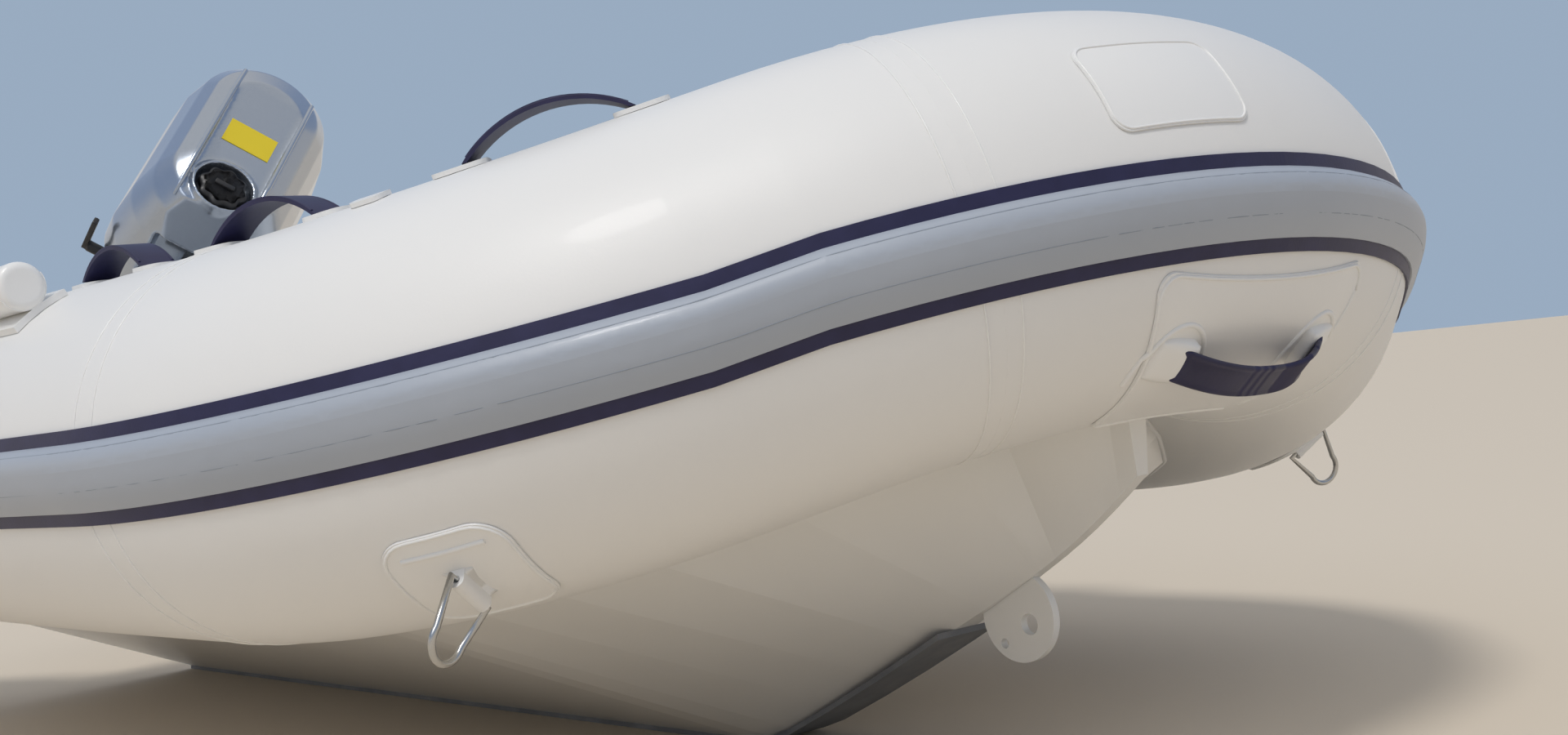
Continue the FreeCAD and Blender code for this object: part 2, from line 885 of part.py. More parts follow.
pad_height = size("motor_pad_height")
for word, x in (
    ("aft", transom_x - GAP - size("motor_pad_thickness")),
    ("fore", transom_x + size("transom_thickness")),
):
    pad = doc.addObject("Part::Box", f"motor_pad_{word}")
    pad.setExpression("Length", cell("motor_pad_thickness"))
    pad.setExpression("Width", f"2 * {cell('motor_pad_half')}")
    pad.setExpression("Height", cell("motor_pad_height"))
    pad.Placement = Placement(
        Vec(x, -size("motor_pad_half"), transom_top - pad_height), Rotation()
    )
    keep(f"motor_pad_{word}", pad)

# Lifting eyes: two bent rods on the inside of the transom
lifting = []
for side in (-1, 1):
    base = Vec(
        transom_x + size("transom_thickness") + GAP,
        side * size("lifting_half_spacing"),
        transom_top - size("lifting_drop"),
    )
    half = size("lifting_eye_half")
    out = half + 4.0
    path = Part.Wire(
        [
            Part.LineSegment(base + Vec(0, -half, 0), base + Vec(out, -half, 0)).toShape(),
            Part.Arc(
                base + Vec(out, -half, 0), base + Vec(out + half, 0, 0), base + Vec(out, half, 0)
            ).toShape(),
            Part.LineSegment(base + Vec(out, half, 0), base + Vec(0, half, 0)).toShape(),
        ]
    )
    ring = Part.Face(Part.Wire(Part.makeCircle(4.0, base + Vec(0, -half, 0), Vec(1, 0, 0))))
    lifting.append(path.makePipe(ring))
    plate_reach = size("lifting_plate_half")
    plate = Part.makeBox(3, 2 * plate_reach, 26, base + Vec(0, -plate_reach, -13))
    lifting[-1] = lifting[-1].fuse(plate)
feature("lifting_eyes", Part.makeCompound(lifting))


# Straps, bases, rings and patches that sit on the tube

def strap(span, rise, width, thickness):
    """An arched strap in its own frame: X along the tube, Z outward, feet at z = 0."""
    outer = Part.Arc(
        Vec(-span / 2 - thickness, 0, 0), Vec(0, 0, rise), Vec(span / 2 + thickness, 0, 0)
    )
    inner = Part.Arc(
        Vec(-span / 2, 0, 0), Vec(0, 0, rise - thickness), Vec(span / 2, 0, 0)
    )
    edges = [
        outer.toShape(),
        Part.LineSegment(outer.EndPoint, inner.EndPoint).toShape(),
        inner.toShape(),
        Part.LineSegment(inner.StartPoint, outer.StartPoint).toShape(),
    ]
    face = Part.Face(Part.Wire(Part.__sortEdges__(edges)))
    band_shape = face.extrude(Vec(0, width, 0))
    band_shape.translate(Vec(0, -width / 2, 0))
    return band_shape


def handle_bases(distance, angle, span):
    pads = []
    for end in (-1, 1):
        face = rounded_face(
            size("base_length"), size("base_width"), 14.0, x=end * (span / 2 + 8)
        )
        pads.append(
            wrapped(
                face, distance, angle, 60.0, size("base_height"), span / 2 + size("base_length")
            )
        )
    return pads


base_top = size("base_height") + 2 * GAP
starboard_straps = []
starboard_bases = []
for number in range(3):
    run = size("strap_first_run") + number * size("strap_pitch")
    frame = frame_on_tube(run, size("strap_angle"), R + base_top)
    shape = moved(
        strap(
            size("strap_span"),
            size("strap_rise") - base_top,
            size("strap_width"),
            size("strap_thickness"),
        ),
        frame,
    )
    pads = handle_bases(run, size("strap_angle"), size("strap_span"))
    for pad in pads:
        shape = shape.cut(pad)
    shape = shape.cut(ENVELOPE)
    shape = max(shape.Solids, key=lambda solid: solid.Volume)
    starboard_straps.append(shape)
    starboard_bases += pads
both_sides("handles", starboard_straps)
both_sides("handle_bases", starboard_bases)

# Bow handle: a wide moulded strap on two bases, on one large patch
bow_angle = size("bow_strap_angle")
top_half = size("bow_patch_top_half")
low_half = size("bow_patch_low_half")
patch_outline = [
    Vec(-top_half, -size("bow_patch_high"), 0),
    Vec(top_half, -size("bow_patch_high"), 0),
    Vec(low_half, size("bow_patch_low"), 0),
    Vec(-low_half, size("bow_patch_low"), 0),
]
bow_face = Part.Face(round_corners(patch_outline, [16.0, 16.0, 30.0, 30.0]))
bow_patch = wrapped(
    bow_face, 0.0, bow_angle, 90.0, size("patch_thickness"), top_half + 60
)
feature("bow_patch", bow_patch)

bow_frame = frame_on_tube(0.0, bow_angle)
bow_bases = []
for end in (-1, 1):
    across = end * size("bow_strap_span") / 2
    pad = Part.makeCone(34.0, 25.0, 26.0, Vec(across, 0, -14))
    pad = moved(pad, bow_frame)
    skin = round_pipe(0.0, 220.0, R + size("patch_thickness") + 2 * GAP)
    pad = pad.cut(skin).cut(mirrored(skin))
    bow_bases.append(max(pad.Solids, key=lambda solid: solid.Volume))
feature("bow_handle_bases", Part.makeCompound(bow_bases))
bow_strap = moved(
    strap(
        size("bow_strap_span"),
        size("bow_strap_rise"),
        size("bow_strap_width"),
        size("strap_thickness"),
    ),
    frame_on_tube(0.0, bow_angle, R - 6),
)
for pad in bow_bases:
    bow_strap = bow_strap.cut(pad)
bow_strap = bow_strap.cut(skin).cut(mirrored(skin))
bow_strap = max(bow_strap.Solids, key=lambda solid: solid.Volume)
feature("bow_handle", bow_strap)

# Bare patch on top of the bow
logo_face = rounded_face(size("logo_patch_length"), size("logo_patch_width"), 16.0)
feature(
    "bow_top_patch",
    wrapped(
        logo_face,
        size("logo_patch_run"),
        size("logo_patch_angle"),
        60.0,
        size("patch_thickness"),
        size("logo_patch_length"),
    ),
)


# D rings: a bent wire held by a sleeve on a patch

def d_ring():
    """The ring in its own frame: its bar along X at the origin, its bow hanging to -Y."""
    half = size("ring_width") / 2 - size("ring_wire")
    drop = size("ring_drop") - 2 * size("ring_wire")
    round_end = half * 0.62
    tail = Vec(-half * 0.42, -drop + round_end, 0)
    edges = [
        Part.LineSegment(Vec(-half, 0, 0), Vec(half, 0, 0)).toShape(),
        Part.LineSegment(Vec(half, 0, 0), Vec(-tail.x + round_end * 0.2, tail.y, 0)).toShape(),
        Part.Arc(
            Vec(-tail.x + round_end * 0.2, tail.y, 0),
            Vec(0, -drop, 0),
            Vec(tail.x - round_end * 0.2, tail.y, 0),
        ).toShape(),
        Part.LineSegment(Vec(tail.x - round_end * 0.2, tail.y, 0), Vec(-half, 0, 0)).toShape(),
    ]
    wire = Part.Wire(Part.__sortEdges__(edges))
    start = wire.OrderedEdges[0]
    first = start.valueAt(start.FirstParameter)
    along = start.tangentAt(start.FirstParameter)
    profile = Part.Wire(Part.makeCircle(size("ring_wire"), first, along))
    pipe = Part.BRepOffsetAPI.MakePipeShell(wire)
    pipe.setTransitionMode(2)
    pipe.add(profile, False, False)
    pipe.build()
    pipe.makeSolid()
    return pipe.shape()


def ring_set(distance):
    """Ring and patch: the bar lies along the girth, and the bow hangs as low as it can."""
    angle = size("ring_angle")
    lift = size("patch_thickness") + 2 * GAP + size("sleeve_radius")
    frame = frame_on_tube(distance, angle, R + lift)
    down = frame.Rotation.inverted().multVec(Vec(0, 0, -1))
    upward = Vec(-down.x, 0, -down.z).normalize()
    turn = Rotation(Vec(0, 1, 0), upward, Vec(0, 1, 0).cross(upward), "XYZ")
    ring_shape = moved(moved(d_ring(), Placement(Vec(0, 0, 0), turn)), frame)
    face = rounded_face(
        size("ring_patch_length"), size("ring_patch_width"), 30.0, y=size("ring_patch_shift")
    )
    patch = wrapped(
        face,
        distance,
        angle,
        60.0,
        size("patch_thickness"),
        size("ring_patch_length") / 2 + 30,
    )
    length = size("sleeve_length")
    sleeve = Part.makeCylinder(
        size("sleeve_radius"), length, Vec(0, -length / 2, 0), Vec(0, 1, 0)
    )
    foot = Part.makeBox(
        2 * size("sleeve_radius"), length, 12, Vec(-size("sleeve_radius"), -length / 2, -12)
    )
    bore = Part.makeCylinder(
        size("ring_wire") + GAP, 3 * length, Vec(0, -1.5 * length, 0), Vec(0, 1, 0)
    )
    sleeve = moved(sleeve.fuse(foot).cut(bore), frame)
    core = round_pipe(distance - 60, distance + 60, R + size("patch_thickness") / 2)
    sleeve = sleeve.cut(core)
    sleeve = max(sleeve.Solids, key=lambda solid: solid.Volume)
    return ring_shape, patch.fuse(sleeve)


fore_ring, fore_patch = ring_set(size("ring_run"))
aft_ring, aft_patch = ring_set(size("ring_aft_run"))
both_sides("d_rings", [fore_ring, aft_ring])
both_sides("ring_patches", [fore_patch, aft_patch])

# Air valves: one on each side tube and one on the bow, flush discs with a low rim
valves = []
for run in (size("valve_aft_run"), size("valve_fore_run")):
    frame = frame_on_tube(run, size("valve_angle"), R + GAP)
    disc = Part.makeCylinder(size("valve_radius"), size("valve_height") + 8, Vec(0, 0, -8))
    disc = moved(disc, frame).cut(ENVELOPE)
    disc = max(disc.Solids, key=lambda solid: solid.Volume)
    valves += [disc, mirrored(disc)]
feature("air_valves", Part.makeCompound(valves))

# Line tabs: a short folded patch on top of each side
tab_face = rounded_face(size("tab_length"), size("tab_width"), 8.0)
tab_run = size("strap_first_run") + size("strap_pitch") / 2
tab = wrapped(tab_face, tab_run, size("tab_angle"), 40.0, 4.0, 60.0)
feature("line_tabs", Part.makeCompound([tab, mirrored(tab)]))


# Oars: held along each side tube by an end cup at the front and a lock amidships

def on_line(run, length):
    """Placement whose Z runs aft along the oar's line, from a distance on the axis."""
    stand = R + size("oar_stand_off")
    first = frame_on_tube(run, size("oar_angle"), stand).Base
    second = frame_on_tube(run + length, size("oar_angle"), stand).Base
    along = (second - first).normalize()
    outward = frame_on_tube(run, size("oar_angle")).Rotation.multVec(Vec(0, 0, 1))
    across = along.cross(outward).normalize()
    return Placement(first, Rotation(across.cross(along), across, along, "ZXY"))


oar_run = size("oar_run")
oar_length = size("oar_length")
oar_frame = on_line(oar_run, oar_length)
shaft_radius = size("oar_shaft_radius")
shaft_length = oar_length - size("oar_blade_length")
shaft = Part.makeCylinder(shaft_radius, shaft_length + 40, Vec(0, 0, 8))
neck = Part.makeCone(
    shaft_radius, 6.0, 120, Vec(0, 0, shaft_length + 48)
)
blade_width = size("oar_blade_width")
blade_points = [
    Vec(0, -14, shaft_length + 40),
    Vec(0, -blade_width / 2, shaft_length + 150),
    Vec(0, -blade_width / 2, oar_length),
    Vec(0, blade_width / 2, oar_length),
    Vec(0, blade_width / 2, shaft_length + 150),
    Vec(0, 14, shaft_length + 40),
]
blade = Part.Face(round_corners(blade_points, [6, 40, 26, 26, 40, 6])).extrude(
    Vec(size("oar_blade_thickness"), 0, 0)
)
blade.translate(Vec(-size("oar_blade_thickness") / 2, 0, 0))
oar = moved(shaft.fuse(neck).fuse(blade).removeSplitter(), oar_frame)
feature("oar_starboard", oar)
feature("oar_port", mirrored(oar))

cup_radius = size("cup_radius")
cup = Part.makeCylinder(cup_radius, size("cup_length"), Vec(0, 0, -12))
cup = cup.makeFillet(
    8.0, [edge for edge in cup.Edges if edge.Closed and edge.CenterOfMass.z < 0]
)
cup = cup.cut(
    Part.makeCylinder(shaft_radius + 1.0, size("cup_length"), Vec(0, 0, 0))
)
cup_foot = Part.makeBox(
    60, 2 * cup_radius + 14, size("cup_length") - 6, Vec(-60, -cup_radius - 7, -8)
)
cup_foot = cup_foot.cut(Part.makeCylinder(cup_radius - 2, 400, Vec(0, 0, -100)))
cup = moved(cup.fuse(cup_foot), oar_frame).cut(ENVELOPE)
shell_skin = round_pipe(oar_run - 60, oar_run + 160, R + 7.0)
cup_core = moved(
    Part.makeCylinder(cup_radius, size("cup_length"), Vec(0, 0, -12)), oar_frame
)
cup_solid = cup.common(shell_skin.fuse(cup_core))
cup_solid = max(cup_solid.Solids, key=lambda solid: solid.Volume)
feature("oar_cups", Part.makeCompound([cup_solid, mirrored(cup_solid)]))

lock_width = size("lock_width")
lock_frame = oar_frame.multiply(Placement(Vec(0, 0, size("lock_run") - oar_run), Rotation()))
lock = Part.makeBox(
    60, lock_width + 30, lock_width, Vec(-60, -lock_width / 2 - 15, -lock_width / 2)
)
ring_block = Part.makeCylinder(shaft_radius + 9, lock_width * 0.7, Vec(0, 0, -lock_width * 0.35))
lock = lock.cut(Part.makeCylinder(shaft_radius + 8, 200, Vec(0, 0, -100)))
lock = lock.fuse(ring_block).cut(
    Part.makeCylinder(shaft_radius + 1.0, 400, Vec(0, 0, -200))
)
lock = moved(lock, lock_frame).cut(ENVELOPE)
lock = max(lock.Solids, key=lambda solid: solid.Volume)
feature("oar_locks", Part.makeCompound([lock, mirrored(lock)]))

# Bench seat: a board across the boat, held by a holder on the inner side of each tube
seat_z = AXIS_Z + size("seat_rise")
seat_x = BOW_X - size("seat_back")
seat_half = size("half_spacing") - math.sqrt(R**2 - size("seat_rise") ** 2) - 10
seat_face = rounded_face(size("seat_width"), 2 * seat_half, 24.0)
seat = seat_face.extrude(Vec(0, 0, size("seat_thickness")))
seat.translate(Vec(seat_x, 0, seat_z))
feature("bench_seat", seat)
holders = []
for side in (-1, 1):
    block = Part.makeBox(
        size("seat_width") * 0.8,
        150,
        size("seat_bracket_height"),
        Vec(
            seat_x - size("seat_width") * 0.4,
            seat_half - 46 if side > 0 else -seat_half - 104,
            seat_z - size("seat_bracket_height") + size("seat_thickness") + 10,
        ),
    )
    room = Part.makeBox(
        400, 2 * seat_half + 2 * GAP, size("seat_thickness") + 2 * GAP,
        Vec(seat_x - 200, -seat_half - GAP, seat_z - GAP),
    )
    block = block.cut(ENVELOPE).cut(room)
    block = min(
        block.Solids, key=lambda solid: abs(solid.CenterOfMass.y) - solid.Volume * 1e-5
    )
    holders.append(block)
feature("seat_holders", Part.makeCompound(holders))


# Outboard motor. Its pieces are drawn as it hangs upright, from the tilt axis: X forward,
# Z up. The rest pose is tilted up and steered over to its stop.

tilt_x = BOW_X - size("transom_back") - size("transom_thickness") - GAP
tilt_x -= size("motor_pad_thickness") + size("tilt_axis_aft")
TILT_AXIS = Vec(tilt_x, 0, transom_top + size("tilt_axis_above"))
upright = Placement(TILT_AXIS, Rotation())
tilted = Placement(TILT_AXIS, Rotation(Vec(0, 1, 0), size("motor_tilt")))
steered = tilted.multiply(
    Placement(
        Vec(-size("swivel_back"), 0, 0), Rotation(Vec(0, 0, 1), -size("motor_steer"))
    )
)

# Clamp bracket: two side plates that hook over the transom, joined by a cross bar
half_width = size("bracket_half")
plate = size("bracket_plate")
pin_radius = size("tilt_pin_radius")
aft_face = size("tilt_axis_aft") - GAP
board_thickness = size("transom_thickness") + 2 * size("motor_pad_thickness") + 2 * GAP
fore_face = size("tilt_axis_aft") + board_thickness
bridge = -size("tilt_axis_above") + GAP
hook_low = -size("tilt_axis_above") - size("bracket_hook")
leg_low = -size("bracket_leg")
side_points = [
    Vec(-20, 0, 16),
    Vec(fore_face + 22, 0, 16),
    Vec(fore_face + 22, 0, hook_low),
    Vec(fore_face + GAP, 0, hook_low),
    Vec(fore_face + GAP, 0, bridge),
    Vec(aft_face, 0, bridge),
    Vec(aft_face, 0, leg_low),
    Vec(-8, 0, leg_low),
    Vec(-30, 0, -150),
    Vec(-20, 0, -30),
]
side_face = Part.Face(round_corners(side_points, [14, 20, 5, 3, 0.5, 0.5, 3, 8, 60, 40]))
clamp_parts = []
for y in (-half_width, half_width - plate):
    solid = side_face.extrude(Vec(0, plate, 0))
    solid.translate(Vec(0, y, 0))
    clamp_parts.append(solid)
cross = Part.makeBox(
    20, 2 * half_width - 1, 18, Vec(fore_face + GAP + 1, -half_width + 0.5, hook_low + 16)
)
foot = Part.makeBox(
    16, 2 * half_width - 1, 20, Vec(aft_face - 17, -half_width + 0.5, leg_low + 12)
)
clamp = clamp_parts[0].fuse(clamp_parts[1:] + [cross, foot])
clamp = clamp.cut(
    Part.makeCylinder(
        pin_radius + size("pin_clearance"), 400, Vec(0, -200, 0), Vec(0, 1, 0)
    )
)
screw_z = hook_low + 25
for side in (-1, 1):
    clamp = clamp.cut(
        Part.makeCylinder(
            7.0 + size("pin_clearance"), 60, Vec(fore_face - 5, side * 40, screw_z), Vec(1, 0, 0)
        )
    )
feature("clamp_bracket", clamp.removeSplitter(), upright)

screws = []
for side in (-1, 1):
    base = Vec(fore_face + GAP, side * 40, screw_z)
    stem = Part.makeCylinder(7.0, 62.0, base, Vec(1, 0, 0))
    bar = Part.makeCylinder(5.0, 74.0, base + Vec(56, -37, 0), Vec(0, 1, 0))
    screws.append(stem.fuse(bar))
feature("clamp_screws", Part.makeCompound(screws), upright)

tilt_pin = doc.addObject("Part::Cylinder", "tilt_pin")
tilt_pin.setExpression("Radius", cell("tilt_pin_radius"))
tilt_pin.setExpression("Height", f"2 * {cell('bracket_half')} + 12")
tilt_pin.Placement = Placement(
    TILT_AXIS + Vec(0, half_width + 6, 0), Rotation(Vec(1, 0, 0), 90)
)
keep("tilt_pin", tilt_pin)

# Swivel bracket: arms on the tilt pin and the long tube that the motor turns in
swivel_back = size("swivel_back")
swivel_radius = size("swivel_radius")
swivel_top = -8.0
swivel_tube = Part.makeCylinder(
    swivel_radius,
    size("swivel_length"),
    Vec(-swivel_back, 0, swivel_top - size("swivel_length")),
)
arm_half = half_width - plate - 1.5
arm_points = [
    Vec(16, 0, 14),
    Vec(16, 0, -16),
    Vec(-swivel_back + 6, 0, -96),
    Vec(-swivel_back, 0, -96),
    Vec(-swivel_back, 0, swivel_top),
    Vec(-swivel_back + 36, 0, swivel_top),
    Vec(-28, 0, 14),
]
arm = Part.Face(round_corners(arm_points, [13, 13, 8, 1, 1, 8, 14])).extrude(
    Vec(0, 2 * arm_half, 0)
)
arm.translate(Vec(0, -arm_half, 0))
waist = Part.makeBox(400, 300, 400, Vec(-14.0 - 400, arm_half * 0.52, -200))
arm = arm.cut(waist).cut(waist.mirror(Vec(0, 0, 0), Vec(0, 1, 0)))
swivel = arm.fuse(swivel_tube)
swivel = swivel.cut(
    Part.makeCylinder(
        size("swivel_pin_radius") + size("pin_clearance"), 600, Vec(-swivel_back, 0, -400)
    )
)
swivel = swivel.cut(
    Part.makeCylinder(
        pin_radius + size("pin_clearance"), 400, Vec(0, -200, 0), Vec(0, 1, 0)
    )
)
feature("swivel_bracket", swivel.removeSplitter(), tilted)


# The pieces that steer are drawn from the swivel axis

def stadium(length_fore, length_aft, half, z, nose=None):
    """A closed outline at one height: round in front and behind, straight at the sides."""
    nose = half if nose is None else nose
    fore = Vec(length_fore, 0, z)
    aft = Vec(-length_aft, 0, z)
    left_fore = Vec(length_fore - nose, half, z)
    left_aft = Vec(-length_aft + nose, half, z)
    edges = [
        Part.Arc(Vec(left_fore.x, -half, z), fore, left_fore).toShape(),
        Part.LineSegment(left_fore, left_aft).toShape(),
        Part.Arc(left_aft, aft, Vec(left_aft.x, -half, z)).toShape(),
        Part.LineSegment(Vec(left_aft.x, -half, z), Vec(left_fore.x, -half, z)).toShape(),
    ]
    return Part.Wire(edges)


swivel_low = swivel_top - size("swivel_length")
plate_z = -size("plate_drop")
pan_low = size("pan_low")
pin_shape = Part.makeCylinder(
    size("swivel_pin_radius"), pan_low - swivel_low + 30, Vec(0, 0, swivel_low - 30)
)
head = Part.makeCylinder(30.0, pan_low - swivel_top - 3, Vec(0, 0, swivel_top + 2.0))
yoke = Part.makeBox(100, 52, pan_low - swivel_top - 3, Vec(-100, -26, swivel_top + 2.0))
low_yoke = Part.makeCylinder(28.0, 26.0, Vec(0, 0, swivel_low - 28.0))
low_arm = Part.makeBox(80, 44, 26.0, Vec(-80, -22, swivel_low - 28.0))
leg_sections = [
    (-42.0, 122.0, 27.0, pan_low - 1.0),
    (-44.0, 116.0, 24.0, swivel_low),
    (-40.0, 116.0, 19.0, plate_z + 60),
    (-26.0, 124.0, 17.0, plate_z + 7.3),
]
leg = Part.makeLoft(
    [stadium(fore, aft, half, z, half * 1.3) for fore, aft, half, z in leg_sections], True, True
)
leg = leg.fuse([pin_shape, head, yoke, low_yoke, low_arm])
feature("motor_leg", leg.removeSplitter(), steered)

# Gear case: the plate over the propeller, the strut, the torpedo and the skeg
prop_z = plate_z - size("propeller_drop")
prop_x = -size("propeller_back")
gear_radius = size("gear_radius")
cover = Part.Face(stadium(4.0, 232.0, 74.0, plate_z, 60.0)).extrude(Vec(0, 0, 7.0))
strut = Part.makeLoft(
    [
        stadium(-26.0, 124.0, 17.0, plate_z + 2.0, 22.0),
        stadium(-30.0, 120.0, 13.0, prop_z, 17.0),
    ],
    True,
    True,
)
torpedo_front = 16.0
torpedo_back = -prop_x - size("hub_length") / 2 - 2.0
torpedo_points = [
    Vec(-torpedo_back, 0, prop_z),
    Vec(-torpedo_back, 0, prop_z + gear_radius * 0.78),
    Vec(-torpedo_back + 50, 0, prop_z + gear_radius),
    Vec(torpedo_front - 52, 0, prop_z + gear_radius),
]
nose_radius = size("gear_nose_radius")
nose_x = torpedo_front - nose_radius
nose_turn = math.radians(62)
torpedo_points.append(
    Vec(
        nose_x + nose_radius * math.cos(nose_turn),
        0,
        prop_z + nose_radius * math.sin(nose_turn),
    )
)
torpedo_edges = [
    Part.LineSegment(first, second).toShape()
    for first, second in zip(torpedo_points, torpedo_points[1:])
]
torpedo_edges.append(
    Part.Arc(
        torpedo_points[-1],
        Vec(
            nose_x + nose_radius * math.cos(nose_turn / 2),
            0,
            prop_z + nose_radius * math.sin(nose_turn / 2),
        ),
        Vec(torpedo_front, 0, prop_z),
    ).toShape()
)
torpedo_edges.append(
    Part.LineSegment(Vec(torpedo_front, 0, prop_z), torpedo_points[0]).toShape()
)
torpedo = Part.Face(Part.Wire(torpedo_edges)).revolve(
    Vec(0, 0, prop_z), Vec(1, 0, 0), 360
)
skeg_low = prop_z - size("skeg_drop")
skeg_points = [
    Vec(-18, 0, prop_z - 10),
    Vec(-92, 0, skeg_low),
    Vec(-136, 0, skeg_low),
    Vec(-118, 0, prop_z - 10),
]
skeg = Part.Face(round_corners(skeg_points, [1, 16, 10, 1])).extrude(Vec(0, 7, 0))
skeg.translate(Vec(0, -3.5, 0))
shaft_bore = Part.makeCylinder(
    size("shaft_radius") + size("pin_clearance"),
    size("shaft_seat") + 10,
    Vec(-torpedo_back - 10, 0, prop_z),
    Vec(1, 0, 0),
)
gear = cover.fuse([strut, torpedo, skeg]).removeSplitter().cut(shaft_bore)
feature("gear_case", gear, steered)

# Propeller: a hub and three raked blades; its shaft end seats in the torpedo
blades = []
hub_length = size("hub_length")
for number in range(3):
    tip = size("propeller_radius")
    blade_face = Part.Face(
        round_corners(
            [
                Vec(-16, 0, size("hub_radius") - 6),
                Vec(-38, 0, tip * 0.72),
                Vec(-6, 0, tip),
                Vec(34, 0, tip * 0.78),
                Vec(16, 0, size("hub_radius") - 6),
            ],
            [2, 26, 22, 26, 2],
        )
    )
    blade = blade_face.extrude(Vec(0, 5, 0))
    blade.translate(Vec(0, -2.5, 0))
    blade.rotate(Vec(0, 0, 0), Vec(0, 0, 1), 38)
    blade.rotate(Vec(0, 0, 0), Vec(1, 0, 0), 120 * number)
    blades.append(blade)
hub = Part.makeCylinder(
    size("hub_radius"), hub_length, Vec(-hub_length / 2, 0, 0), Vec(1, 0, 0)
)
nose = Part.makeCone(
    size("hub_radius") * 0.55, 5.0, 20.0, Vec(-hub_length / 2, 0, 0), Vec(-1, 0, 0)
)
shaft_end = Part.makeCylinder(
    size("shaft_radius"),
    size("shaft_seat") + 1.0,
    Vec(hub_length / 2, 0, 0),
    Vec(1, 0, 0),
)
propeller = hub.fuse(blades + [nose, shaft_end]).removeSplitter()
propeller_place = steered.multiply(Placement(Vec(prop_x, 0, prop_z), Rotation()))
feature("propeller", propeller, propeller_place)

# Lower pan and cowl
pan_high = size("pan_high")
cowl_half = size("cowl_half")
cowl_front = size("cowl_front")
cowl_back = size("cowl_back")
cowl_top = size("cowl_top")
pan = Part.makeLoft(
    [
        stadium(cowl_front - 44, cowl_back - 92, cowl_half - 62, pan_low, 60),
        stadium(cowl_front - 8, cowl_back - 22, cowl_half - 10, pan_high - 16, 96),
        stadium(cowl_front - 3, cowl_back - 12, cowl_half - 4, pan_high, 100),
    ],
    True,
    True,
)
feature("lower_pan", pan, steered)

cowl_sections = [
    (0.0, 0.0, 0.0, pan_high + GAP, 104.0),
    (1.0, -6.0, 1.0, pan_high + 60, 106.0),
    (-6.0, -10.0, -8.0, pan_high + 140, 110.0),
    (-20.0, -34.0, -26.0, cowl_top - 62, 104.0),
    (-46.0, -74.0, -46.0, cowl_top - 22, 84.0),
    (-84.0, -124.0, -72.0, cowl_top, 56.0),
]
cowl_hood = Part.makeLoft(
    [
        stadium(cowl_front + fore, cowl_back + aft, cowl_half + half, z, nose)
        for fore, aft, half, z, nose in cowl_sections
    ],
    True,
    True,
)

# The hood's middle sinks toward the front between two ridges, down to the recess of the
# starter handle; the fuel cap stands in a round pocket with a raised rim
channel_half = size("channel_half")
recess_x = cowl_front - size("starter_recess")
foot_z = cowl_top - size("channel_foot_drop")
channel_points = [
    Vec(-size("channel_start"), -channel_half, cowl_top + 1),
    Vec(size("channel_bend"), -channel_half, cowl_top - size("channel_depth")),
    Vec(cowl_front - 18, -channel_half, foot_z),
    Vec(recess_x, -channel_half, foot_z - 4),
    Vec(recess_x, -channel_half, pan_high + 20),
    Vec(cowl_front + 40, -channel_half, pan_high + 20),
    Vec(cowl_front + 40, -channel_half, cowl_top + 40),
    Vec(-size("channel_start"), -channel_half, cowl_top + 40),
]
channel = Part.Face(Part.makePolygon(channel_points + channel_points[:1])).extrude(
    Vec(0, 2 * channel_half, 0)
)
cap_centre = Vec(size("cap_fore"), 0, cowl_top - size("cap_drop"))
pocket_radius = size("cap_radius") + size("cap_pocket_gap")
rim_z = cowl_top - size("cap_rim_drop")
rim = Part.makeCylinder(
    pocket_radius + size("cap_rim"), rim_z - cap_centre.z + 30, cap_centre - Vec(0, 0, 30)
)
pocket = Part.makeCylinder(pocket_radius, 100, cap_centre)
cowl = cowl_hood.cut(channel).fuse(rim).cut(pocket).removeSplitter()
feature("cowl", cowl, steered)

cap = doc.addObject("Part::Cylinder", "fuel_cap")
cap.setExpression("Radius", cell("cap_radius"))
cap.setExpression("Height", cell("cap_height"))
cap.Placement = steered.multiply(Placement(cap_centre + Vec(0, 0, GAP), Rotation()))
keep("fuel_cap", cap)

handle_z = (pan_high + cowl_top) / 2 - 30
grip = Part.makeCylinder(9.0, 84.0, Vec(cowl_front - 18, -42, handle_z), Vec(0, 1, 0))
stalk = Part.makeCylinder(7.0, 40.0, Vec(recess_x - 10, 0, handle_z), Vec(1, 0, 0))
starter = grip.fuse(stalk.cut(cowl)).removeSplitter()
feature("starter_handle", starter, steered)

lever_x = 30.0
lever_z = pan_high - 24
lever = Part.makeCylinder(
    10.0, 70.0, Vec(lever_x, -cowl_half - 16, lever_z), Vec(0, 1, 0)
)
lever_arm = Part.makeBox(14, 9, 76, Vec(lever_x - 7, -cowl_half - 25, lever_z - 6))
lever = lever.cut(pan).fuse(lever_arm)
lever = max(lever.Solids, key=lambda solid: solid.Volume)
feature("shift_lever", lever, steered)

# Tiller: an arm from the front of the pan, raised a little, with a rubber grip
tiller_turn = Rotation(Vec(0, 1, 0), 90 - size("tiller_rise_angle"))
tiller_root = Vec(cowl_front - 34, 0, (pan_low + pan_high) / 2 - 8)
tiller_place = Placement(tiller_root, tiller_turn)
arm_shape = Part.makeCone(20.0, 14.0, size("tiller_arm") + 40, Vec(0, 0, 0))
arm_shape = moved(arm_shape, tiller_place).cut(pan)
arm_shape = max(arm_shape.Solids, key=lambda solid: solid.Volume)
feature("tiller_arm", arm_shape, steered)
grip_shape = Part.makeCylinder(
    size("tiller_radius"), size("tiller_grip"), Vec(0, 0, size("tiller_arm") + 40 + GAP)
)
feature("tiller_grip", moved(grip_shape, tiller_place), steered)

doc.recompute()

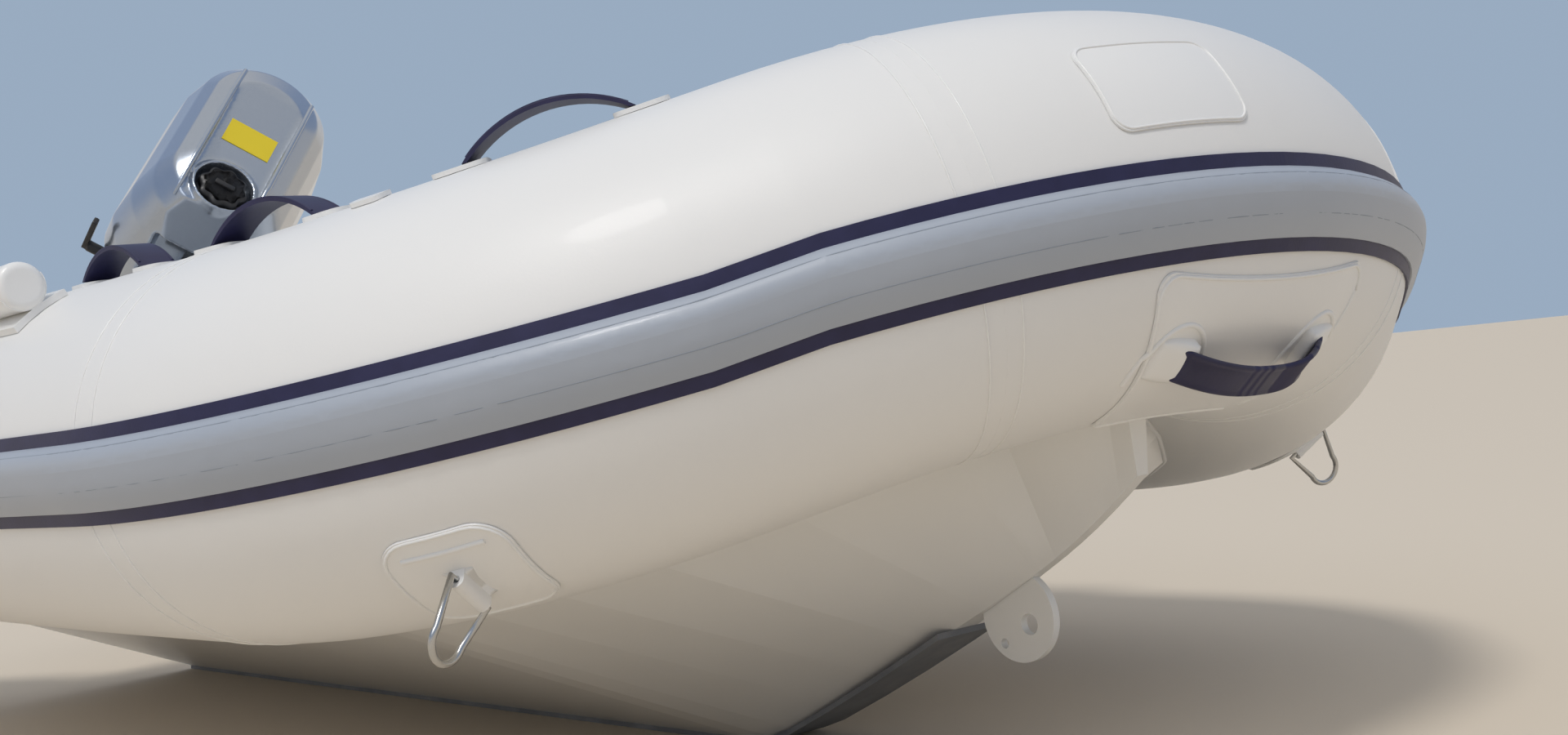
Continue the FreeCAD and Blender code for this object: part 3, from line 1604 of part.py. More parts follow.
# Every object and every shape is looked at before any file is written
for obj in doc.Objects:
    if "Invalid" in obj.State or "Error" in obj.State:
        raise RuntimeError(f"{obj.Label} did not build: {obj.State}")
for obj in subparts:
    if obj.Shape.isNull() or not obj.Shape.isValid():
        raise RuntimeError(f"{obj.Label} has no valid shape")

os.makedirs("parts", exist_ok=True)
for obj in subparts:
    obj.Shape.exportStep(f"parts/{obj.Label}.step")
    box = obj.Shape.BoundBox
    print(
        f"{obj.Label:26s} solids {len(obj.Shape.Solids)} volume {obj.Shape.Volume / 1000:9.1f} cm3 "
        f"x {box.XMin:7.0f} {box.XMax:7.0f} y {box.YMin:6.0f} {box.YMax:6.0f} "
        f"z {box.ZMin:5.0f} {box.ZMax:5.0f}"
    )
print(len(subparts), "files")
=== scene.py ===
import math

import bmesh
import bpy
from mathutils import Matrix, Vector
from mathutils.bvhtree import BVHTree


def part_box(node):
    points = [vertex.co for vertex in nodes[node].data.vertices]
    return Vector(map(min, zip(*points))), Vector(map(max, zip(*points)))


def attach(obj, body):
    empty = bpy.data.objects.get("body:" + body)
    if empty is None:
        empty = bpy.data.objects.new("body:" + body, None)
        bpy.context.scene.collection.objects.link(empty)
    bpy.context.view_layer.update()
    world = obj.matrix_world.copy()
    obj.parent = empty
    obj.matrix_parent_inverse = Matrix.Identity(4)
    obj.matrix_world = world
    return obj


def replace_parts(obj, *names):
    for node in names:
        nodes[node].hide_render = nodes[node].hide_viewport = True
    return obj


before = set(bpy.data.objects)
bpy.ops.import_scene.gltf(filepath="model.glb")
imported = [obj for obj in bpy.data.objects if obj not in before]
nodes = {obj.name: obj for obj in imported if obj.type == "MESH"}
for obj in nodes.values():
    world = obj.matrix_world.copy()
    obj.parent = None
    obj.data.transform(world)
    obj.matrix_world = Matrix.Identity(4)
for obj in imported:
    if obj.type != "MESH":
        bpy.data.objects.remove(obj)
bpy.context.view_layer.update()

# Rigid hull: a moulded V bottom of white gelcoat over glass fibre. It is one shell with
# the foredeck and the inner floor, polished outside. The eye plate at the stem and the
# transom board have the same finish.
gelcoat_white = (0.80, 0.80, 0.785)
gelcoat_shade = (0.76, 0.755, 0.735)


def principled(name, colour, roughness, metallic=0.0, coat=0.0):
    """A new material with one surface shader."""
    material = bpy.data.materials.new(name)
    material.use_nodes = True
    shader = material.node_tree.nodes["Principled BSDF"]
    shader.inputs["Base Color"].default_value = (*colour, 1.0)
    shader.inputs["Roughness"].default_value = roughness
    shader.inputs["Metallic"].default_value = metallic
    shader.inputs["Coat Weight"].default_value = coat
    shader.inputs["Coat Roughness"].default_value = 0.08
    return material


def noise_on(tree, scale, detail, stretch=(1.0, 1.0, 1.0)):
    """A noise on the object's own coordinates, stretched along the axes."""
    coords = tree.nodes.new("ShaderNodeTexCoord")
    mapping = tree.nodes.new("ShaderNodeMapping")
    mapping.inputs["Scale"].default_value = stretch
    noise = tree.nodes.new("ShaderNodeTexNoise")
    noise.inputs["Scale"].default_value = scale
    noise.inputs["Detail"].default_value = detail
    tree.links.new(coords.outputs["Object"], mapping.inputs["Vector"])
    tree.links.new(mapping.outputs["Vector"], noise.inputs["Vector"])
    return noise.outputs["Fac"]


def ramp_on(tree, value, stops):
    """The colour that a value takes on a ramp of two or more places and colours."""
    ramp = tree.nodes.new("ShaderNodeValToRGB")
    elements = ramp.color_ramp.elements
    for number, (place, colour) in enumerate(stops):
        stop = elements[number] if number < 2 else elements.new(place)
        stop.position = place
        stop.color = (*colour, 1.0)
    tree.links.new(value, ramp.inputs["Fac"])
    return ramp.outputs["Color"]


def tinted(material, first, second, scale, detail):
    """The material's colour goes between two colours with a noise."""
    tree = material.node_tree
    noise = noise_on(tree, scale, detail)
    colour = ramp_on(tree, noise, ((0.35, first), (0.68, second)))
    tree.links.new(colour, tree.nodes["Principled BSDF"].inputs["Base Color"])


def bumped(material, height, depth, strength=1.0):
    """The material's normal follows a height, with its depth in metres."""
    tree = material.node_tree
    bump = tree.nodes.new("ShaderNodeBump")
    bump.inputs["Distance"].default_value = depth
    bump.inputs["Strength"].default_value = strength
    tree.links.new(height, bump.inputs["Height"])
    tree.links.new(bump.outputs["Normal"], tree.nodes["Principled BSDF"].inputs["Normal"])
    return bump


def grained(material, scale, detail, depth, strength, stretch=(1.0, 1.0, 1.0)):
    """The material's normal follows a noise."""
    noise = noise_on(material.node_tree, scale, detail, stretch)
    return bumped(material, noise, depth, strength)


def paint(material, *names):
    """CAD nodes get a material."""
    for name in names:
        nodes[name].data.materials.clear()
        nodes[name].data.materials.append(material)


gelcoat = principled("gelcoat", gelcoat_white, roughness=0.30, coat=0.25)
tinted(gelcoat, gelcoat_shade, gelcoat_white, scale=2.2, detail=3.0)
grained(gelcoat, scale=9.0, detail=2.0, depth=0.0006, strength=0.6)
paint(gelcoat, "hull", "bow_eye_plate", "transom")

# Deck floor, locker lid and its hinge: gelcoat panels with a moulded non-slip grain of
# small raised dots; the lid turns on a stainless piano hinge at its front edge.
deck_colour = (0.66, 0.67, 0.68)
steel_colour = (0.53, 0.53, 0.52)


def dotted(material, pitch, height):
    """Raised round dots at an even pitch, as non-slip floors have them."""
    tree = material.node_tree
    coords = tree.nodes.new("ShaderNodeTexCoord")
    cells = tree.nodes.new("ShaderNodeTexVoronoi")
    cells.voronoi_dimensions = "3D"
    cells.inputs["Scale"].default_value = 1.0 / pitch
    cells.inputs["Randomness"].default_value = 0.0
    tree.links.new(coords.outputs["Object"], cells.inputs["Vector"])
    dot, ground = (1.0, 1.0, 1.0), (0.0, 0.0, 0.0)
    dots = ramp_on(tree, cells.outputs["Distance"], ((0.30, dot), (0.42, ground)))
    bumped(material, dots, height)


deck_grain = principled("deck_grain", deck_colour, roughness=0.55)
dotted(deck_grain, pitch=0.011, height=0.0008)
paint(deck_grain, "deck_floor", "locker_lid")
stainless = principled("stainless", steel_colour, roughness=0.24, metallic=1.0)
grained(stainless, scale=220.0, detail=2.0, depth=0.0002, strength=0.4)
paint(stainless, "locker_hinge", "lifting_eyes", "clamp_screws", "tilt_pin")

# Lid latch: a black moulded twist knob in a round cup. It is let into the lid near its aft
# edge and screwed down.
lid_low, lid_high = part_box("locker_lid")
latch_inset = 0.032
latch_sink = 0.0035
latch_radius = 0.017
latch_grip_size = (0.006, 0.024, 0.004)
latch_grip_rise = 0.0028
black_plastic = principled("black_plastic", (0.022, 0.022, 0.024), roughness=0.42)
grained(black_plastic, scale=320.0, detail=2.0, depth=0.0003, strength=0.5)


def piece(name, shape, material, body, smooth=True):
    """A finished mesh as an object that rides on a body."""
    bmesh.ops.recalc_face_normals(shape, faces=shape.faces)
    mesh = bpy.data.meshes.new(name)
    for face in shape.faces:
        face.smooth = smooth
    shape.to_mesh(mesh)
    shape.free()
    obj = bpy.data.objects.new(name, mesh)
    bpy.context.scene.collection.objects.link(obj)
    mesh.materials.append(material)
    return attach(obj, body)


def turned_disc(shape, rings, place, segments=48):
    """A round piece from radius and height pairs, outermost ring first, closed on top."""
    last_radius, last_height = rings[0]
    ring = bmesh.ops.create_circle(
        shape, segments=segments, radius=last_radius, cap_ends=True
    )["verts"]
    face = next(f for f in shape.faces if set(f.verts) == set(ring))
    bmesh.ops.translate(shape, verts=ring, vec=(0, 0, last_height))
    made = list(ring)
    for number, (radius, height) in enumerate(rings[1:]):
        grown = bmesh.ops.extrude_face_region(shape, geom=[face], use_keep_orig=number == 0)
        ring = [v for v in grown["geom"] if isinstance(v, bmesh.types.BMVert)]
        face = next(f for f in grown["geom"] if isinstance(f, bmesh.types.BMFace))
        ratio = radius / last_radius
        bmesh.ops.scale(shape, verts=ring, vec=(ratio, ratio, 1.0))
        bmesh.ops.translate(shape, verts=ring, vec=(0, 0, height - last_height))
        made += ring
        last_radius, last_height = radius, height
    bmesh.ops.transform(shape, matrix=place, verts=made)
    return made


def block(shape, size, place):
    """A box of a size at a place, as part of a larger shape."""
    verts = bmesh.ops.create_cube(shape, size=1.0)["verts"]
    bmesh.ops.transform(shape, matrix=place @ Matrix.Diagonal((*size, 1.0)), verts=verts)
    return verts


latch = bmesh.new()
latch_place = Matrix.Translation((lid_low.x + latch_inset, 0.0, lid_high.z - latch_sink))
latch_rings = [
    (latch_radius, 0.0),
    (latch_radius, 0.0022),
    (latch_radius - 0.002, 0.003),
    (latch_radius - 0.004, 0.0018),
]
turned_disc(latch, latch_rings, latch_place)
block(latch, latch_grip_size, latch_place @ Matrix.Translation((0, 0, latch_grip_rise)))
piece("lid_latch", latch, black_plastic, "bow_lid", smooth=False)

# Keel guard: a dark strip of hard rubber glued along the keel, worn a little lighter in
# places by the beach.
guard_colour = (0.17, 0.18, 0.20)
guard_fresh = (0.14, 0.15, 0.17)
guard_worn = (0.21, 0.22, 0.24)
guard_rubber = principled("guard_rubber", guard_colour, roughness=0.62)
tinted(guard_rubber, guard_fresh, guard_worn, scale=14.0, detail=5.0)
grained(guard_rubber, scale=60.0, detail=4.0, depth=0.0008, strength=0.6)
paint(guard_rubber, "keel_guard")

# Transom fittings: a black motor pad screwed on each face of the board, and two drain
# sockets of white plastic with four screws in each flange.
pad_screw_radius = 0.0042
pad_screw_inset = 0.018
drain_flange_radius = 0.030
drain_screw_radius = 0.003
drain_screw_offset = 0.0245 * 0.7
white_plastic = principled("white_plastic", (0.78, 0.78, 0.77), roughness=0.45)
paint(white_plastic, "drain_sockets", "end_caps", "oar_locks", "air_valves")
paint(black_plastic, "motor_pad_aft", "motor_pad_fore")


def screw_heads(name, spots, axis, radius, body):
    """Pan heads with a dimple in the middle, one at each spot, facing along an axis."""
    shape = bmesh.new()
    turn = Vector((0, 0, 1)).rotation_difference(Vector(axis)).to_matrix().to_4x4()
    head_rings = [
        (radius, 0.0),
        (radius, 0.25 * radius),
        (0.72 * radius, 0.55 * radius),
        (0.26 * radius, 0.60 * radius),
        (0.16 * radius, 0.38 * radius),
    ]
    for spot in spots:
        turned_disc(shape, head_rings, Matrix.Translation(spot) @ turn, segments=20)
    return piece(name, shape, stainless, body)


pad_low, pad_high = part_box("motor_pad_aft")
pad_spots = [
    Vector((pad_low.x, y, z))
    for y in (pad_low.y + pad_screw_inset, pad_high.y - pad_screw_inset)
    for z in (pad_low.z + pad_screw_inset, pad_high.z - pad_screw_inset)
]
screw_heads("aft_pad_screws", pad_spots, (-1, 0, 0), pad_screw_radius, "boat")
fore_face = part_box("motor_pad_fore")[1].x
fore_spots = [Vector((fore_face, spot.y, spot.z)) for spot in pad_spots]
screw_heads("fore_pad_screws", fore_spots, (1, 0, 0), pad_screw_radius, "boat")
drain_low, drain_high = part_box("drain_sockets")
drain_side = drain_high.y - drain_flange_radius
drain_level = (drain_low.z + drain_high.z) / 2
drain_spots = []
for side in (-1, 1):
    for across, up in ((1, 1), (-1, 1), (1, -1), (-1, -1)):
        y = side * drain_side + across * drain_screw_offset
        drain_spots.append(Vector((drain_low.x, y, drain_level + up * drain_screw_offset)))
screw_heads("drain_screws", drain_spots, (-1, 0, 0), drain_screw_radius, "boat")

# Buoyancy tube: three panels of white PVC-coated cloth, welded over a tape at each bow
# seam and aft seam, with a cone of the same cloth and a plastic cap at each stern end.
tube_radius = 0.180
bow_station = 1.3462
axis_height = 0.390
axis_corners = [
    (0.0, 0.0, 0.124),
    (0.0, -0.168, 0.124),
    (0.287, -0.571, 0.0),
    (0.796, -0.592, 0.0),
    (2.190, -0.592, 0.0),
]
axis_bends = [None, 0.5, 6.0]
shortest_straight = 0.0005
girth_angles = range(0, 360, 4)
seam_runs = (0.228, 0.848)
seam_tape_half = 0.012
seam_welt_radius = 0.0009
cone_seam_inset = 0.002
cone_welt_radius = 0.0014
cloth_white = (0.80, 0.80, 0.79)
cloth_warm = (0.785, 0.78, 0.765)


def axis_runs():
    """The starboard axis as stretches of start, direction, length and bend centre."""
    points = [
        Vector((bow_station - back, y, axis_height + rise)) for back, y, rise in axis_corners
    ]
    runs = []
    here = points[0]
    for before, corner, after, bend in zip(points, points[1:], points[2:], axis_bends):
        into = (corner - before).normalized()
        out = (after - corner).normalized()
        turn = into.angle(out)
        if bend is None:  # The first bend starts right at the centre plane.
            bend = (corner - before).length / math.tan(turn / 2)
        trim = bend * math.tan(turn / 2)
        start = corner - into * trim
        if (start - here).length > shortest_straight:
            runs.append((here, into, (start - here).length, None))
        side = (out - into * into.dot(out)).normalized()
        runs.append((start, into, bend * turn, start + side * bend))
        here = corner + out * trim
    last = (points[-1] - points[-2]).normalized()
    runs.append((here, last, (points[-1] - here).length, None))
    return runs


tube_axis = axis_runs()
axis_length = sum(run[2] for run in tube_axis)


def axis_at(distance):
    """Point and direction of the starboard axis at a distance from the centre plane."""
    for number, (start, direction, length, centre) in enumerate(tube_axis):
        if distance <= length or number == len(tube_axis) - 1:
            break
        distance -= length
    if centre is None:
        return start + direction * distance, direction
    radius = (start - centre).length
    angle = distance / radius
    out = (start - centre).normalized()
    point = centre + out * radius * math.cos(angle) + direction * radius * math.sin(angle)
    return point, direction * math.cos(angle) - out * math.sin(angle)


def tube_frame(run, angle, lift=0.0):
    """Matrix on the tube: X aft along it, Y down the girth, Z out; a run below 0 is port."""
    centre, along = axis_at(abs(run))
    outward = Vector((0, 0, 1)).cross(along).normalized()
    if outward.dot(centre) < 0:
        outward.negate()
    upward = along.cross(outward)
    if upward.z < 0:
        upward.negate()
    turn = math.radians(angle)
    radial = outward * math.cos(turn) + upward * math.sin(turn)
    down = outward * math.sin(turn) - upward * math.cos(turn)
    spot = centre + radial * (tube_radius + lift)
    matrix = Matrix.Identity(4)
    for column, vector in enumerate((along, down, radial, spot)):
        matrix.col[column][:3] = vector
    if run < 0:
        matrix = Matrix.Diagonal((1, -1, 1, 1)) @ matrix
    return matrix


def bead(name, paths, radius, material, body="boat", closed=False, resolution=3):
    """Round beads of one radius along one or more paths of points, as one curve."""
    data = bpy.data.curves.new(name, "CURVE")
    data.dimensions = "3D"
    data.bevel_depth = radius
    data.bevel_resolution = resolution
    data.use_fill_caps = not closed
    for path in paths:
        spline = data.splines.new("POLY")
        spline.points.add(len(path) - 1)
        for point, place in zip(spline.points, path):
            point.co = (*place, 1.0)
        spline.use_cyclic_u = closed
    obj = bpy.data.objects.new(name, data)
    bpy.context.scene.collection.objects.link(obj)
    data.materials.append(material)
    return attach(obj, body)


def mirrored(path):
    """A path's mirror image on the other side of the boat."""
    return [Vector((p.x, -p.y, p.z)) for p in path]


def both(path):
    """A path and its mirror image."""
    return [path, mirrored(path)]


tube_cloth = principled("tube_cloth", cloth_white, roughness=0.46, coat=0.04)
tinted(tube_cloth, cloth_warm, cloth_white, scale=1.6, detail=2.0)
weave = grained(tube_cloth, scale=420.0, detail=2.0, depth=0.00012, strength=0.5)
slack = grained(
    tube_cloth, scale=5.0, detail=2.0, depth=0.0030, strength=0.35, stretch=(1.0, 1.0, 2.0)
)
tube_cloth.node_tree.links.new(weave.outputs["Normal"], slack.inputs["Normal"])
paint(tube_cloth, "tube_starboard", "tube_port", "tube_bow")
paint(tube_cloth, "end_cone_starboard", "end_cone_port")
seam_cloth = principled("seam_cloth", (0.83, 0.83, 0.82), roughness=0.34, coat=0.1)
seam_paths = []
for run in seam_runs:
    for edge in (run - seam_tape_half, run + seam_tape_half):
        seam_paths += both([tube_frame(edge, angle).translation for angle in girth_angles])
bead("tube_seam_welts", seam_paths, seam_welt_radius, seam_cloth, closed=True, resolution=2)
cone_run = axis_length - cone_seam_inset
cone_paths = both([tube_frame(cone_run, angle).translation for angle in girth_angles])
bead("cone_seam_welts", cone_paths, cone_welt_radius, seam_cloth, closed=True, resolution=2)

# Hull bead: the fillet of white sealant where the hull's edge is glued under the tube. It
# follows the line where the hull's shell comes out of the tube's skin.
sealant_lift = 0.0010
sealant_radius = 0.0030
sealant_span = (0.022, 1.98)
sealant_points = 120
bare_angle = -60.0
hidden_angle = -100.0
lowest_angle = -150.0
angle_step = 2.0
halvings = 12


def skin_of(*names):
    """A search tree over the surfaces of some of the rigid pieces."""
    shape = bmesh.new()
    for name in names:
        shape.from_mesh(nodes[name].data)
    found = BVHTree.FromBMesh(shape)
    shape.free()
    return found


def inside(skin, spot):
    """Whether a spot lies in a closed shell: a line to the side crosses it oddly often."""
    most_crossings = 20
    step_past = 0.00005
    crossings = 0
    direction = Vector((0.03, 1.0, 0.05)).normalized()
    hit = skin.ray_cast(spot, direction)[0]
    while hit is not None and crossings < most_crossings:
        crossings += 1
        hit = skin.ray_cast(hit + direction * step_past, direction)[0]
    return crossings % 2 == 1


hull_skin = skin_of("hull")


def hull_covers(run, angle):
    """Whether the hull's shell holds a place on the starboard tube's skin."""
    return inside(hull_skin, tube_frame(run, angle, sealant_lift).translation)


def hull_edge(run):
    """Angle on the starboard tube where the hull's side starts, seen from outside."""
    free, covered = bare_angle, hidden_angle
    while not hull_covers(run, covered):
        covered -= angle_step
        if covered < lowest_angle:
            return None
    for _ in range(halvings):
        middle = (free + covered) / 2
        if hull_covers(run, middle):
            covered = middle
        else:
            free = middle
    return free


def steps(first, last, count):
    """Even steps from a first value to a last one."""
    return [first + (last - first) * n / count for n in range(count + 1)]


sealant_path = []
for run in steps(*sealant_span, sealant_points):
    edge_angle = hull_edge(run)
    if edge_angle is not None:
        sealant_path.append(tube_frame(run, edge_angle, sealant_lift).translation)
bead("hull_sealant", both(sealant_path), sealant_radius, seam_cloth)

# Rubbing strake: a grey D-section fender of PVC between two flat navy bands, all glued on
# the tube in one length round the bow. The fender has two fine moulding lines whose darker
# grey is painted shade along the kinks where the fender's curves meet.
fender_top = (0.400, 0.440, 0.505)
fender_low = (0.365, 0.405, 0.470)
navy = (0.011, 0.010, 0.052)
navy_light = (0.016, 0.015, 0.066)
line_places = ((3.3, 0.0124), (-6.6, 0.0127))
line_radius = 0.0007
line_points = 120
fender_grey = principled("fender_grey", fender_top, roughness=0.42, coat=0.10)
tinted(fender_grey, fender_low, fender_top, scale=3.0, detail=3.0)
grained(fender_grey, scale=6.0, detail=2.0, depth=0.0020, strength=0.35)
paint(fender_grey, "strake_fender")
navy_band = principled("navy_band", navy, roughness=0.46)
tinted(navy_band, navy, navy_light, scale=40.0, detail=3.0)
grained(navy_band, scale=300.0, detail=2.0, depth=0.0002, strength=0.5)
paint(navy_band, "strake_bands")
# The fender lines are thin real beads, coloured darker grey as painted shade along the fender's
# kinks.
fender_line_shade = principled("fender_line_shade", (0.26, 0.30, 0.36), roughness=0.5)
for number, (angle, lift) in enumerate(line_places, start=1):
    line = [
        tube_frame(run, angle, lift).translation
        for run in steps(axis_length, 0.0, line_points)
    ]
    line += mirrored(reversed(line[:-1]))
    bead(f"fender_line_{number}", [line], line_radius, fender_line_shade, resolution=1)

# Grab handles: three navy straps on each side, folded over along both edges, with their
# ends stitched down on small white bases.
strap_span = 0.140
strap_rise = 0.0274
strap_width = 0.036
strap_angle = 88.0
strap_runs = (0.476, 0.791, 1.106)
base_top = 0.0046
fold_radius = 0.0016
fold_inset = 0.0014
fold_sink = 0.0006
fold_overrun = 0.009


def arch(span, rise, count=24):
    """Points of a round arch over X, its feet at the ends of the span."""
    radius = (span**2 / 4 + rise**2) / (2 * rise)
    half = math.asin(span / 2 / radius)
    return [
        Vector((radius * math.sin(turn), 0.0, rise - radius + radius * math.cos(turn)))
        for turn in steps(-half, half, count)
    ]


paint(navy_band, "handles_starboard", "handles_port", "bow_handle")
paint(tube_cloth, "handle_bases_starboard", "handle_bases_port", "bow_handle_bases")
fold_paths = []
for run in strap_runs:
    place = tube_frame(run, strap_angle, base_top)
    for edge in (-1, 1):
        shift = Vector((0.0, edge * (strap_width / 2 - fold_inset), -fold_sink))
        line = [place @ (p + shift) for p in arch(strap_span + fold_overrun, strap_rise)]
        fold_paths += both(line[1:-1])
bead("handle_edges", fold_paths, fold_radius, navy_band)

# Bow patch and bow handle: one large patch with a raised welt round it and two arched welts
# on it, and a wide navy strap with rolled edges whose ends go into low white tabs.
bow_angle = -47.0
patch_top_half = 0.150
patch_low_half = 0.104
patch_high = 0.074
patch_low = 0.103
patch_corner = 0.018
patch_welt_inset = 0.002
patch_welt_radius = 0.0017
patch_cloth = principled("patch_cloth", (0.82, 0.82, 0.81), roughness=0.36, coat=0.1)
grained(patch_cloth, scale=420.0, detail=2.0, depth=0.00012, strength=0.5)
paint(patch_cloth, "bow_patch", "bow_top_patch", "line_tabs", "oar_cups", "seat_holders")
paint(patch_cloth, "ring_patches_starboard", "ring_patches_port")


def rounded_path(points, radius, per_corner=6, per_side=8):
    """A closed flat path through the corners, each rounded by an arc."""
    path = []
    count = len(points)
    for index in range(count):
        before, here, after = points[index - 1], points[index], points[(index + 1) % count]
        into = (here - before).normalized()
        out = (after - here).normalized()
        turn = into.angle(out)
        trim = radius * math.tan(turn / 2)
        side = (out - into * into.dot(out)).normalized()
        start = here - into * trim
        centre = start + side * radius
        path += [
            centre - side * radius * math.cos(a) + into * radius * math.sin(a)
            for a in steps(0.0, turn, per_corner)
        ]
        end = here + out * trim
        following = after - out * trim
        path += [end.lerp(following, n / per_side) for n in range(1, per_side)]
    return path


def flat(*pairs):
    """Points in a plane."""
    return [Vector((x, y)) for x, y in pairs]


def pressed(skin, place, point, lift=0.0):
    """A flat point dropped straight down on a skin, then lifted off it by a height."""
    drop_height = 0.12
    down = -place.to_3x3().col[2].normalized()
    start = place @ Vector((point[0], point[1], drop_height))
    spot, normal = skin.ray_cast(start, down)[:2]
    if normal.dot(down) > 0:
        normal.negate()
    return spot + normal * lift


bow_skin = skin_of("tube_bow", "tube_starboard", "tube_port", "bow_patch")
bow_place = tube_frame(0.0, bow_angle)
welt_top_half = patch_top_half - patch_welt_inset
welt_low_half = patch_low_half - patch_welt_inset
welt_high = patch_high - patch_welt_inset
welt_low = patch_low - patch_welt_inset
bow_corners = flat(
    (-welt_top_half, -welt_high),
    (welt_top_half, -welt_high),
    (welt_low_half, welt_low),
    (-welt_low_half, welt_low),
)
bow_outline = rounded_path(bow_corners, patch_corner, per_side=24)
bow_welt = [pressed(bow_skin, bow_place, p) for p in bow_outline]
bead("bow_patch_welt", [bow_welt], patch_welt_radius, patch_cloth, closed=True)
boss_reach = 0.098
boss_half = 0.037
boss_height = 0.052
boss_foot = 0.018
boss_overrun = 12
boss_welt_radius = 0.0024
boss_turns = steps(math.radians(-boss_overrun), math.radians(180 + boss_overrun), 32)
boss_paths = []
for side in (-1, 1):
    boss_line = [
        (side * boss_reach + boss_half * math.cos(a), boss_foot - boss_height * math.sin(a))
        for a in boss_turns
    ]
    boss_paths.append([pressed(bow_skin, bow_place, p) for p in boss_line])
bead("bow_boss_welts", boss_paths, boss_welt_radius, patch_cloth)
tab_shift = 0.004
tab_half_length = 0.024
tab_half_width = 0.0225
tab_height = 0.0080
tab_slope = 0.0045


def draped_pad(shape, skin, place, middle, half_length, half_width, height, slope):
    """A low pad on a skin, from a grid, with round corners; it rises along its length."""
    corner_pull = 0.22
    rim_power = 6
    seat_depth = 0.0012
    grid = bmesh.ops.create_grid(shape, x_segments=20, y_segments=20, size=1.0)["verts"]
    for vert in grid:
        u, v = vert.co.x, vert.co.y
        x = middle[0] + half_length * u * math.sqrt(1 - corner_pull * v * v)
        y = middle[1] + half_width * v * math.sqrt(1 - corner_pull * u * u)
        rim = max(abs(u), abs(v))
        fall = math.sqrt(max(0.0, 1 - rim**rim_power))
        lift = -seat_depth + (height + slope * u + seat_depth) * fall
        vert.co = pressed(skin, place, (x, y), lift)
    return grid


bow_tabs = bmesh.new()
for side in (-1, 1):
    draped_pad(
        bow_tabs,
        bow_skin,
        bow_place,
        (side * (boss_reach + tab_shift), 0.0),
        -side * tab_half_length,
        tab_half_width,
        tab_height,
        tab_slope,
    )
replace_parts(piece("bow_handle_tabs", bow_tabs, patch_cloth, "boat"), "bow_handle_bases")
bow_strap_width = 0.033
bow_strap_half = 0.1015
bow_strap_rise = 0.037
bow_strap_foot = 0.006
bow_strap_fullness = 2.5
bow_strap_sink = 0.0035
bow_strap_web = 0.0034
bow_strap_roll = 0.0026


def swept(shape, section, frames):
    """A solid drawn through frames; the section lies in the X and Y of each frame."""
    verts = [shape.verts.new(frames[0] @ Vector((x, y, 0.0))) for x, y in section]
    face = shape.faces.new(verts)
    for number, (before, after) in enumerate(zip(frames, frames[1:])):
        grown = bmesh.ops.extrude_face_region(shape, geom=[face], use_keep_orig=number == 0)
        verts = [v for v in grown["geom"] if isinstance(v, bmesh.types.BMVert)]
        face = next(f for f in grown["geom"] if isinstance(f, bmesh.types.BMFace))
        bmesh.ops.transform(shape, matrix=after @ before.inverted(), verts=verts)


def frame_along(point, along, across):
    """Matrix with Z along a path, X across it and Y out of it."""
    across = (across - along * across.dot(along)).normalized()
    matrix = Matrix.Identity(4)
    for column, vector in enumerate((across, along.cross(across), along, point)):
        matrix.col[column][:3] = vector
    return matrix


def strap_section(width, thickness, roll):
    """Half-round rolled edges with a thinner web between them."""
    roll_middle = width / 2 - roll
    web_half = width / 2 - 2.2 * roll
    outline = []
    for side in (1, -1):
        for angle in steps(-90, 90, 6):
            turn = math.radians(angle)
            x = side * (roll_middle + roll * math.cos(turn))
            outline.append((x, side * roll * math.sin(turn)))
        outline.append((side * web_half, side * thickness / 2))
        outline.append((-side * web_half, side * thickness / 2))
    return outline


arch_line = []
for x in steps(-bow_strap_half, bow_strap_half, 40):
    reach = abs(x / (bow_strap_half + bow_strap_foot))
    rise = bow_strap_rise * (1 - reach**bow_strap_fullness)
    arch_line.append(bow_place @ Vector((x, 0.0, rise - bow_strap_sink)))
strap_frames = []
for number, point in enumerate(arch_line):
    before = arch_line[max(number - 1, 0)]
    after = arch_line[min(number + 1, len(arch_line) - 1)]
    along = (after - before).normalized()
    strap_frames.append(frame_along(point, along, bow_place.to_3x3().col[1]))
bow_strap = bmesh.new()
bow_strap_section = strap_section(bow_strap_width, bow_strap_web, bow_strap_roll)
swept(bow_strap, bow_strap_section, strap_frames)
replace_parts(piece("bow_strap", bow_strap, navy_band, "boat"), "bow_handle")

# D rings: a bent stainless wire whose bar lies in a folded sleeve of cloth. The patch
# under it is welded on the tube, with a low welt all round and a ridge near its upper edge.
ring_runs = (0.603, 1.700)
ring_angle = -54.0
ring_lift = 0.0092
ring_wire = 0.0031
ring_half = 0.0275
ring_drop = 0.060
ring_round = 0.0185
ring_overrun = 8
ring_swing = math.radians(12.0)
ring_patch_half = 0.053
ring_patch_top = -0.058
ring_patch_low = 0.062
ring_patch_corner = 0.028
ring_welt_radius = 0.0015
ridge_half = 0.036
ridge_level = -0.042
ridge_radius = 0.0024
sleeve_half = 0.020
sleeve_radius = 0.0042
sleeve_foot = [(0.0048, -0.0022), (0.0085, -0.0066), (0.017, -0.0100)]


def ring_line():
    """The wire in its own plane: X along the bar, Y the way that the bow hangs."""
    centre = ring_drop - ring_round
    line = flat((-ring_half, 0.0), (0.0, 0.0), (ring_half, 0.0))
    for a in steps(math.radians(-ring_overrun), math.radians(180 + ring_overrun), 24):
        line.append(Vector((ring_round * math.cos(a), centre + ring_round * math.sin(a))))
    return line


